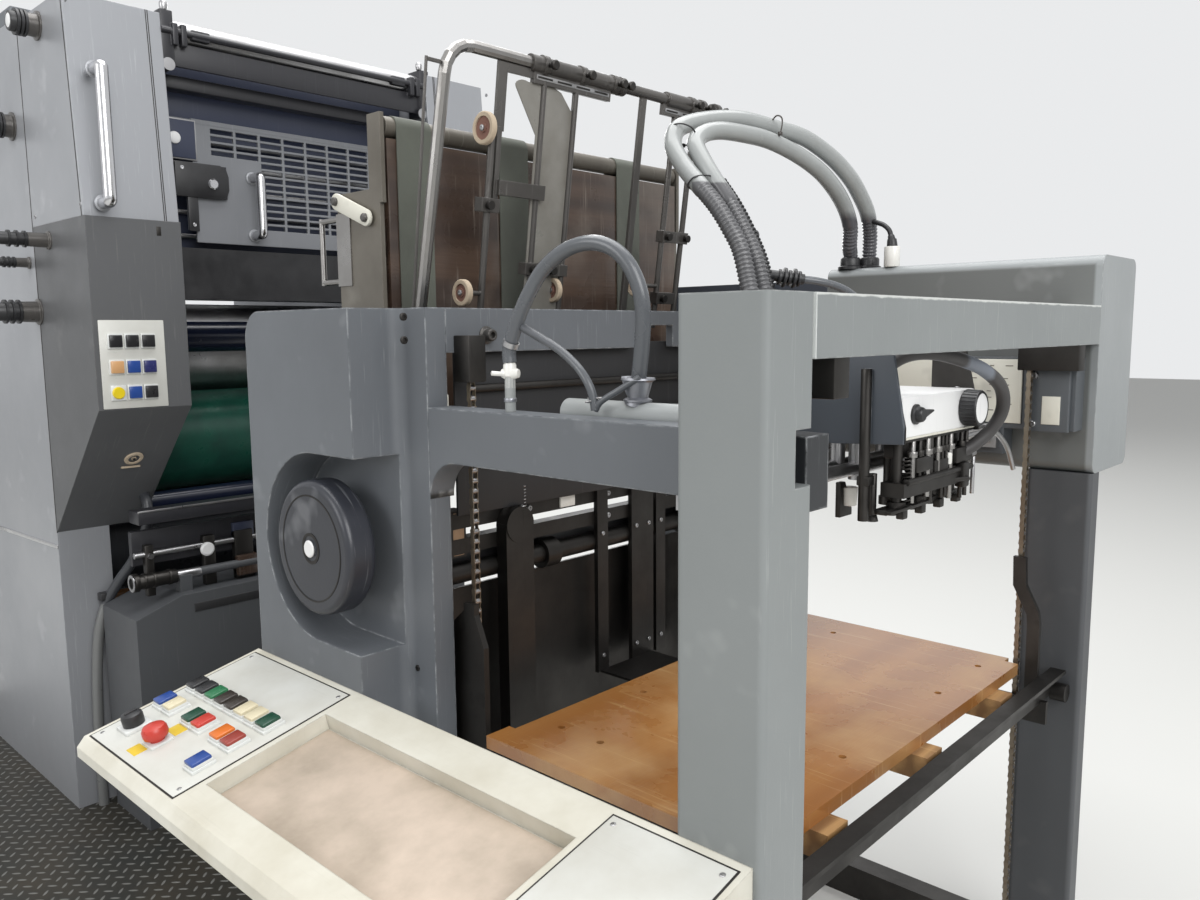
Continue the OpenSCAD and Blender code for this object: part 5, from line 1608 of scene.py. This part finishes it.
@dataclass
class PrintingUnit:
    """The fine pieces of the tall unit: knobs, handles, beams over the guard and push buttons."""

    side_y: float = -685.0
    beam_half: float = 440.0
    knobs: tuple = ((775, 1767, 20, 138), (650, 1575, 30, 120), (600, 1716, 14, 90), (815, 2322, 30, 70),
                    (545, 2104, 32, 60))
    handles: tuple = (
        ("near_cover_handle", "root", 1050, 52, -638, 1837, 2185, 16),
        ("far_cover_handle", "root", 1050, 52, 638, 1837, 2185, 16),
        ("guard_handle", "guard", 898, 54, -147, 1798, 1985, 14),
    )
    beams: tuple = (
        ((900, 2262), (984, 2296), 4), ((984, 2240), (992, 2304), 2), ((878, 2196), (930, 2232), 3))

    def build(self) -> None:
        """Makes the knobs, the grab handles, the beams over the guard and the push buttons."""
        self.make_studs()
        self.make_handles()
        self.make_beams()
        self.make_buttons()

    def make_handles(self) -> None:
        """Makes the thick grab handles over the cover's and the guard's thin ones."""
        for name, body, x, reach, y, low, high, radius in self.handles:
            handle = Piece(name, body)
            handle.use(Finish.CHROME)
            bend, foot = 6, low + 8
            route = [(x - 4, y, foot), (x + reach - bend, y, foot)]
            route += [(x + reach - bend + bend * math.sin(angle), y, foot + bend * (1 - math.cos(angle)))
                      for angle in (0.4, 0.8, 1.2, 1.571)]
            route += [(place[0], y, low + high - place[2]) for place in reversed(route)]
            handle.swept(route, radius, 4)
            handle.use(Finish.SILVER_PANEL)
            for z in (foot, high - 8):
                handle.rod((x - 1, y, z), (x + 4, y, z), radius + 5)
            if body == "guard":
                self.add_latch(handle)
            handle.done()

    @staticmethod
    def add_latch(handle: Piece) -> None:
        """Adds the rounded black latch plate beside the guard's handle and its bolts.

        Args:
            handle: The piece that they belong to.
        """
        handle.use(Finish.BLACK).slab([(-386, 1903), (-252, 1903), (-234, 1912), (-227, 1932), (-227, 1970),
            (-234, 1992), (-252, 2001), (-386, 2001)], Axis.X, 909, 914, 1.5)
        handle.slab([(-352, 1806), (-322, 1806), (-322, 1904), (-352, 1904)], Axis.X, 907, 911, 1.5)
        handle.use(Finish.CHROME).cap(16, 4, 12, 8, (913, -276, 1945), FRONT, 24)
        for y, z in ((-366, 1984), (-337, 1824)):
            handle.screw((913 if z > 1900 else 910, y, z), FRONT, 6, 3)

    def make_beams(self) -> None:
        """Makes the black beams above the guard and the plate behind its slots."""
        beams = Piece("ink_unit_beams")
        beams.use(Finish.BLACK_BEAM)
        half = self.beam_half
        for low, high, radius in self.beams:
            beams.block((low[0], -half, low[1]), (high[0], half, high[1]), radius)
        beams.bar(1000, 2330, half, 9)
        for y in (-404, -380, 380, 404):
            beams.block((968, y - 8, 2292), (1012, y + 8, 2350), 3)
        beams.use(Finish.INK_PLATE).block((842, -half, 2128), (850, half, 2290), 1)
        beams.block((800, 2 - half, 1762), (806, half - 2, 2128), 1)
        beams.use(Finish.BRIGHT)
        for z in (1800, 1870, 1940, 2010, 2080):
            beams.bar(820, z, half - 2, 7)
        for y in (-424, 424):
            beams.turned([(0, 0), (17, 0), (17, 4), (0, 5)], (1000, y, 2240), FRONT)
            beams.turned([(0, 0), (9, 0), (11, 8), (11, 18), (7, 24), (0, 25)], (990, y, 2384), UP, 24)
        beams.use(Finish.BLACK_BEAM)
        for y in (-430, 430):
            beams.block((930, y - 10, 2232), (1000, y + 26, 2384), 4)
        for y in (-330, 330):
            beams.block((980, y - 26, 2316), (1006, y + 26, 2344), 4)
        beams.done()

    def make_studs(self) -> None:
        """Makes the ribbed knobs on both side panels, the seams and trims, and the knob behind the guard."""
        studs = Piece("panel_studs")
        for side in SIDES:
            face = self.side_y * -side
            for x, z, radius, reach in self.knobs:
                self.add_knob(studs, (x, face, z), side, radius, reach)
            studs.use(Finish.DARK_STEEL)
            low, high = sorted((face - side, face + side * 0.6))
            studs.slab([(1030, 1812), (1034, 1812), (994, 2370), (990, 2370)], Axis.Y, low, high, 0)
            studs.block((648, low, 930), (652, high, 2370), 0)
            for y in (472, 477):
                studs.slab([(1036, 1812), (1040.6, 1812), (1000.6, 2370), (996, 2370)], Axis.Y, *sorted(
                    (side * y, side * (y + 2.2))), 0)
            studs.block((1046, side * 500 - 6, 1772), (1050.6, side * 500 + 6, 1796), 0.5)
            studs.use(Finish.CHROME)
            low, high = sorted((face - side, face + side * 3.0))
            studs.slab([(20, 862), (650, 882), (650, 894), (20, 874)], Axis.Y, low, high, 1.2)
            studs.use(Finish.BRIGHT).screws(((680, 1030), (face,), (1840, 2340)), (0, side, 0), 6, 2)
        studs.use(Finish.BRIGHT).block((896, -439, 2008), (903, -314, 2122), 1)
        studs.use(Finish.INK_PLATE).block((897, -437, 2012), (905, -318, 2118), 1)
        studs.use(Finish.HEAD_WHITE).cap(17, 5, 13, 8, (904, -379, 2066), FRONT)
        studs.done()

    @staticmethod
    def add_knob(studs: Piece, at: Point, side: int, radius: float, reach: float) -> None:
        """Adds one ribbed knob with its steel foot and white face.

        Args:
            studs: The piece that it belongs to.
            at: Its foot.
            side: The side of the press, -1 or 1.
            radius: The radius of its foot.
            reach: How far it stands out.
        """
        out = (0, side, 0)
        flange, grip = radius * 1.25, radius * 0.86
        foot = [(0, -1), (flange, -1), (flange, 4), (radius, 6), (radius * 0.96, reach * 0.4),
            (0, reach * 0.4)]
        body = [(0, reach * 0.38), (grip, reach * 0.38), (grip, reach - 4), (radius * 0.8, reach - 1),
            (0, reach - 1)]
        studs.use(Finish.HOLD_STEEL).turned(foot, at, out, 28)
        studs.use(Finish.BLACK).turned(body, at, out, 28)
        for share in (0.42, 0.56, 0.7):
            studs.ring(radius * 0.79, radius * 1.12, 0, 6, (at[0], at[1] + side * reach * share, at[2]), out,
                28)
        studs.use(Finish.HEAD_WHITE).turned([(0, 0), (radius * 0.6, 0), (radius * 0.55, 1), (0, 1)],
            (at[0], at[1] + side * (reach - 1), at[2]), out, 24)

    def make_buttons(self) -> None:
        """Makes the plate with its three rows of push buttons."""
        plate = Piece("unit_button_set")
        plate.use(Finish.BEZEL).block((1050, -673, 1313), (1054.6, -505, 1546), 2)
        colours = ((Finish.BUTTON_YELLOW, Finish.BUTTON_BLUE, Finish.BUTTON_BLACK),
            (Finish.BUTTON_TAN, Finish.BUTTON_BLUE, Finish.BUTTON_DEEP_BLUE), (Finish.BUTTON_BLACK,) * 3)
        for row, column in product(range(3), repeat=2):
            y, z = -651 + column * 42, 1340 + row * 68
            plate.use(Finish.LENS).block((1054, y - 3, z - 5), (1060, y + 35, z + 35), 1.2)
            plate.use(colours[row][column])
            if row or column:
                plate.block((1058, y, z - 1), (1067, y + 32, z + 31), 2)
            else:
                plate.cap(16, 5, 14, 8, (1058, y + 15, z + 15), FRONT)
        plate.done("unit_buttons")


@dataclass
class ControlCover:
    """The lock on the slope of the near control cover and the clip of the hose beside it."""

    lock_at: Point = (890, -545, 1158)

    def build(self) -> None:
        """Makes the lock with its ring and the clip."""
        slope = Vector((1310 - 931, 0, 650 - 1050)).normalized()
        lock = Piece("cover_lock")
        lock.use(Finish.RIM).turned([(15, -1), (26, -1), (26, 2), (24, 4), (17, 4), (15, 2)], self.lock_at,
            slope, 36)
        lock.ring(0, 7, -1, 3, self.lock_at, slope, 20)
        foot = Vector(self.lock_at) - Vector((400, 0, 379)).normalized() * 38
        lock.block(foot - Vector((4, 26, 4)), foot + Vector((4, 26, 2)), 1)
        lock.use(Finish.BLACK).ring(0, 4, 3, 5, self.lock_at, slope, 16)
        lock.block((660, -592, 708), (690, -556, 732), 3)
        lock.done()


@dataclass
class Infeed:
    """The fine pieces on the infeed between the unit and the feeder."""

    shaft_x: float = 900.0
    shaft_z: float = 798.0
    half_y: float = 560.0

    def build(self) -> None:
        """Makes the sleeves on the infeed shaft, and the rails and blocks beside it."""
        infeed = Piece("infeed_fittings")
        x, z = self.shaft_x, self.shaft_z
        infeed.use(Finish.DARK_STEEL).rod((x, -576, z), (x, -562, z), 27, sides=28)
        infeed.rod((x, -562, z), (x, -452, z), 21)
        infeed.rod((x, 452, z), (x, 576, z), 21)
        for y in (-548, -521, -476):
            infeed.rod((x, y, z), (x, y + 9, z), 23.5)
        infeed.use(Finish.BRIGHT).rod((x, -452, z), (x, -380, z), 15)
        for y in (-578, 576):
            infeed.ring(16, 25, 0, 2, (x, y, z), (0, -1 if y < 0 else 1, 0), 28)
        self.add_rails(infeed)
        self.add_blocks(infeed)
        infeed.done()

    def add_rails(self, infeed: Piece) -> None:
        """Adds the rails across the infeed.

        Args:
            infeed: The piece that they belong to.
        """
        infeed.use(Finish.BLACK_BEAM).block((862, -self.half_y, 968), (930, self.half_y, 1006), 3)
        infeed.block((846, -self.half_y, 838), (866, self.half_y, 940), 2)
        infeed.use(Finish.BRIGHT).block((928, -self.half_y, 1003), (932, self.half_y, 1009), 1)
        infeed.bar(880, 872, self.half_y, 9)
        # The black strip stands in for the shade inside the infeed's slot: painted shade.
        infeed.use(Finish.INTERIOR).block((948, -424, 690), (951.5, 424, 716), 1)

    @staticmethod
    def add_blocks(infeed: Piece) -> None:
        """Adds the stops, posts and blocks on the infeed rails, the same on both sides.

        Args:
            infeed: The piece that they belong to.
        """
        for side in SIDES:
            infeed.use(Finish.DARK_STEEL)
            for y, wide in ((-342, 18), (-520, 12), (-232, 30), (-120, 22), (-60, 14)):
                low, high = span(side, y - wide, y + wide)
                infeed.block((868, low, 748), (892, high, 900), 3)
            infeed.use(Finish.HEAD_WHITE).cap(21, 6, 16, 10, (892, side * 351, 860), FRONT, 28)
            infeed.use(Finish.BRIGHT).ring(0, 8, 0, 12, (892, side * 520, 868), FRONT, 16)
            infeed.use(Finish.TABLE_BOARD)
            low, high = span(side, 194, 262)
            infeed.block((878, low, 760), (908, high, 822), 3)
            infeed.use(Finish.INK_PLATE).block((868, low, 858), (884, high, 924), 2)


@dataclass
class SideCovers:
    """The screwed cover plates, seams and vents on the unit's sides and top and on the delivery."""

    unit_y: float = 685.0
    delivery_y: float = 655.0

    def build(self) -> None:
        """Makes the plates on both sides and the fittings on top."""
        for side, name in ((-1, "near"), (1, "far")):
            covers = Piece(f"{name}_cover_plates")
            self.add_plate(covers, Finish.CASTING, side, self.delivery_y, (-1600, 150), (-700, 1380))
            self.add_plate(covers, Finish.CASTING, side, self.delivery_y, (-2480, 1190), (-1660, 1400))
            if side > 0:
                self.add_plate(covers, Finish.SILVER_PANEL, side, self.unit_y, (-590, 180), (590, 1240))
                self.add_plate(covers, Finish.SILVER_PANEL, side, self.unit_y, (-590, 1270), (590, 1760))
                self.add_vent(covers, (-400, 260), (-60, 480))
            covers.done()
        self.add_top()

    def add_plate(self, piece: Piece, finish: Finish, side: int, face: float, low: Spot,
                  high: Spot) -> None:
        """Adds one screwed plate with a dark seam round it.

        Args:
            piece: The piece that it belongs to.
            finish: The finish of the plate.
            side: The side of the press, -1 or 1.
            face: How far out the face is on which it lies.
            low: Its lowest corner in X and Z.
            high: Its highest corner.
        """
        for own, grow, rise in ((Finish.DARK_STEEL, 3, 1.0), (finish, 0, 3.0)):
            inner, outer = span(side, face - 1, face + rise)
            piece.use(own).block((low[0] - grow, inner, low[1] - grow),
                (high[0] + grow, outer, high[1] + grow), 0.8)
        piece.use(Finish.BRIGHT)
        places = ([first + (last - first) * share for share in shares] for first, last, shares in (
            (low[0], high[0], (0.02, 0.35, 0.65, 0.98)), (low[1], high[1], (0.04, 0.96))))
        across, up = places
        piece.screws((across, (side * (face + 3),), up), (0, side, 0), 9, 4)

    def add_vent(self, piece: Piece, low: Spot, high: Spot) -> None:
        """Adds a row of louvres to the far side.

        Args:
            piece: The piece that it belongs to.
            low: The lowest corner in X and Z.
            high: The highest corner.
        """
        face = self.unit_y + 3
        # The black plate behind the louvres stands in for the shade inside the vent: painted shade.
        piece.use(Finish.INTERIOR).block((low[0], face - 1, low[1]), (high[0], face + 0.6, high[1]), 0)
        piece.use(Finish.SILVER_PANEL)
        for step in range(10):
            z = low[1] + 8 + step * (high[1] - low[1] - 12) / 10
            piece.slab([(face - 1, z), (face + 9, z), (face + 9, z + 2), (face - 1, z + 13)], Axis.X,
                low[0] + 6, high[0] - 6, 0)

    def add_top(self) -> None:
        """Adds the seams, handles and screws on the hood of the delivery and on the unit's top."""
        top = Piece("hood_fittings")
        top.use(Finish.DARK_STEEL)
        for x in (-2210, -1680, -1152):
            top.block((x - 2, -583, 1598), (x + 2, 583, 1600.8), 0)
        top.block((-2650, -586, 1418), (-2648, 586, 1421), 0)
        for y in (-586, 586):
            top.block((-2470, y - 1.5, 1598), (-1150, y + 1.5, 1600.8), 0)
        top.use(Finish.CHROME)
        for x, y in product((-2330, -1420), (-300, 300)):
            top.swept([(x, y - 60, 1598), (x, y - 60, 1622), (x, y - 48, 1634), (x, y + 48, 1634),
                       (x, y + 60, 1622), (x, y + 60, 1598)], 7)
        top.use(Finish.BRIGHT)
        for side in SIDES:
            top.screws(((-350, 0, 350, 580), (side * self.unit_y,), (2400,)), (0, side, 0), 10, 3)
        top.screws(((-2440, -1700, -1660, -1180), (-560, -280, 0, 280, 560), (1600,)), UP, 7, 3)
        top.done()


@dataclass
class Delivery:
    """The fine pieces on the delivery end."""

    inner_y: float = 585.0

    def build(self) -> None:
        """Makes the screws on its frames, its chain rails and the grippers on its bars."""
        screws = Piece("delivery_fittings")
        screws.use(Finish.DARK_STEEL)
        for side in SIDES:
            screws.screws(((-2570, -1620), (side * 655,), (40, 1200)), (0, side, 0), 9, 4)
            low, high = span(side, self.inner_y, self.inner_y - 26)
            for z in (1350, 1424):
                screws.block((-2400, low, z), (-700, high, z + 14), 2)
            screws.block((-2612, low, 100), (-2560, high, 1240), 2)
        for x, y in product(range(-950, -2231, -320), range(-520, 521, 104)):
            screws.use(Finish.BRIGHT).block((x - 22, y - 9, 1380), (x + 20, y + 9, 1420), 2)
            screws.use(Finish.DARK_STEEL).block((x - 34, y - 7, 1384), (x - 20, y + 7, 1392), 1)
        screws.use(Finish.BRIGHT)
        for x, y in product((-1700, -2450), (-505, 505)):
            screws.rod((x, y, 130), (x, y, 1350), 8)
        screws.done()


@dataclass
class Studio:
    """The camera, the floor and the lights."""

    camera_at: Point = (3.697, -1.609, 1.504)
    camera_turn: Point = (82.91354, 0.49942, 42.83951)
    lens: float = 28.4886
    sensor: float = 36.0
    sight: float = 100.0
    floor_half: float = 30.0
    floor_colour: Colour = (0.62, 0.62, 0.6)
    sky_colour: Colour = (0.82, 0.83, 0.84)
    sky_light: float = 0.55
    lamps: tuple = (
        ("lamp_key", (9.0, -2.5, 5.0), (1.5, 0.0, 1.0), 5.0, 430.0),
        ("lamp_side", (0.5, -8.0, 4.5), (0.5, 0.0, 1.2), 4.0, 200.0),
        ("lamp_top", (1.5, 0.5, 7.0), (1.5, 0.0, 0.0), 6.0, 420.0),
        ("lamp_back", (-6.0, 7.0, 5.0), (0.0, 0.0, 1.0), 5.0, 360.0),
    )

    def build(self) -> None:
        """Makes the floor, the world and the lamps."""
        self.make_floor()
        self.make_world()
        for name, at, aim, size, power in self.lamps:
            self.make_lamp(name, at, aim, size, power)

    def make_camera(self) -> None:
        """Sets the camera where the photograph was taken."""
        data = bpy.data.cameras.new("camera")
        data.lens = self.lens
        data.sensor_width = self.sensor
        data.sensor_fit = "HORIZONTAL"
        data.clip_end = self.sight
        camera = bpy.data.objects.new("camera", data)
        camera.location = self.camera_at
        camera.rotation_euler = [math.radians(angle) for angle in self.camera_turn]
        bpy.context.scene.collection.objects.link(camera)
        bpy.context.scene.camera = camera

    def make_floor(self) -> None:
        """Lays the pale floor."""
        bm = bmesh.new()
        bmesh.ops.create_grid(bm, x_segments=1, y_segments=1, size=self.floor_half)
        mesh = bpy.data.meshes.new("floor")
        bm.to_mesh(mesh)
        bm.free()
        floor = bpy.data.objects.new("floor", mesh)
        bpy.context.scene.collection.objects.link(floor)
        coat = Coat("floor")
        coat.shader.inputs["Base Color"].default_value = (*self.floor_colour, 1)
        coat.plain(roughness=0.8)
        mesh.materials.append(coat.material)

    def make_world(self) -> None:
        """Lights the scene evenly and shows a pale backdrop behind it."""
        world = bpy.data.worlds.new("studio")
        world.use_nodes = True
        bpy.context.scene.world = world
        graph = Graph(world.node_tree)
        lit = world.node_tree.nodes["Background"]
        lit.inputs["Color"].default_value = (*self.sky_colour, 1)
        lit.inputs["Strength"].default_value = self.sky_light
        seen = graph.add("Background", {"Color": (*self.sky_colour, 1), "Strength": 1.0})
        path = graph.add("LightPath")
        direct = graph.math("MAXIMUM", path.outputs["Is Camera Ray"], path.outputs["Is Glossy Ray"])
        direct = graph.math("MAXIMUM", direct, path.outputs["Is Transmission Ray"])
        mixed = graph.add("MixShader", {0: direct, 1: lit.outputs[0], 2: seen.outputs[0]})
        graph.tree.links.new(mixed.outputs[0], world.node_tree.nodes["World Output"].inputs["Surface"])
        bpy.context.scene.view_settings.view_transform = "Standard"

    def make_lamp(self, name: str, at: Point, aim: Point, size: float, power: float) -> None:
        """Hangs one soft lamp.

        Args:
            name: The lamp's name.
            at: Where it hangs.
            aim: What it points at.
            size: The side of its square face.
            power: Its power in watts.
        """
        data = bpy.data.lights.new(name, "AREA")
        data.size = size
        data.energy = power
        lamp = bpy.data.objects.new(name, data)
        lamp.location = at
        lamp.rotation_euler = (Vector(aim) - Vector(at)).to_track_quat("-Z", "Y").to_euler()
        bpy.context.scene.collection.objects.link(lamp)


def dress_nodes(frame: dict) -> None:
    """Gives every CAD node the finish of its material slot, or its own.

    Args:
        frame: The loaded frame.
    """
    for part in frame["record"]["subparts"]:
        node = frame["nodes"][part["node"]]
        finish = NODE_FINISHES.get(part["node"], SLOT_FINISHES[part["material_slot"]])
        node.data.materials.clear()
        node.data.materials.append(finish.make())


def main() -> None:
    """Builds the press around its frame."""
    logging.basicConfig(level=logging.INFO, format="%(message)s")
    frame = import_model()
    studio = Studio()
    studio.make_camera()
    for hose in HOSES:
        hose.build()
    studio.build()
    dress_nodes(frame)
    for assembly in (SuctionHead(), ScaleSheet(), ConsoleButtons(), ConsoleTray(), HoseFittings(), HoldDown(),
            HoistChains(), Feeder(), PrintingUnit(), ControlCover(), Infeed(), SideCovers(), Delivery()):
        assembly.build()


if __name__ == "__main__":
    main()
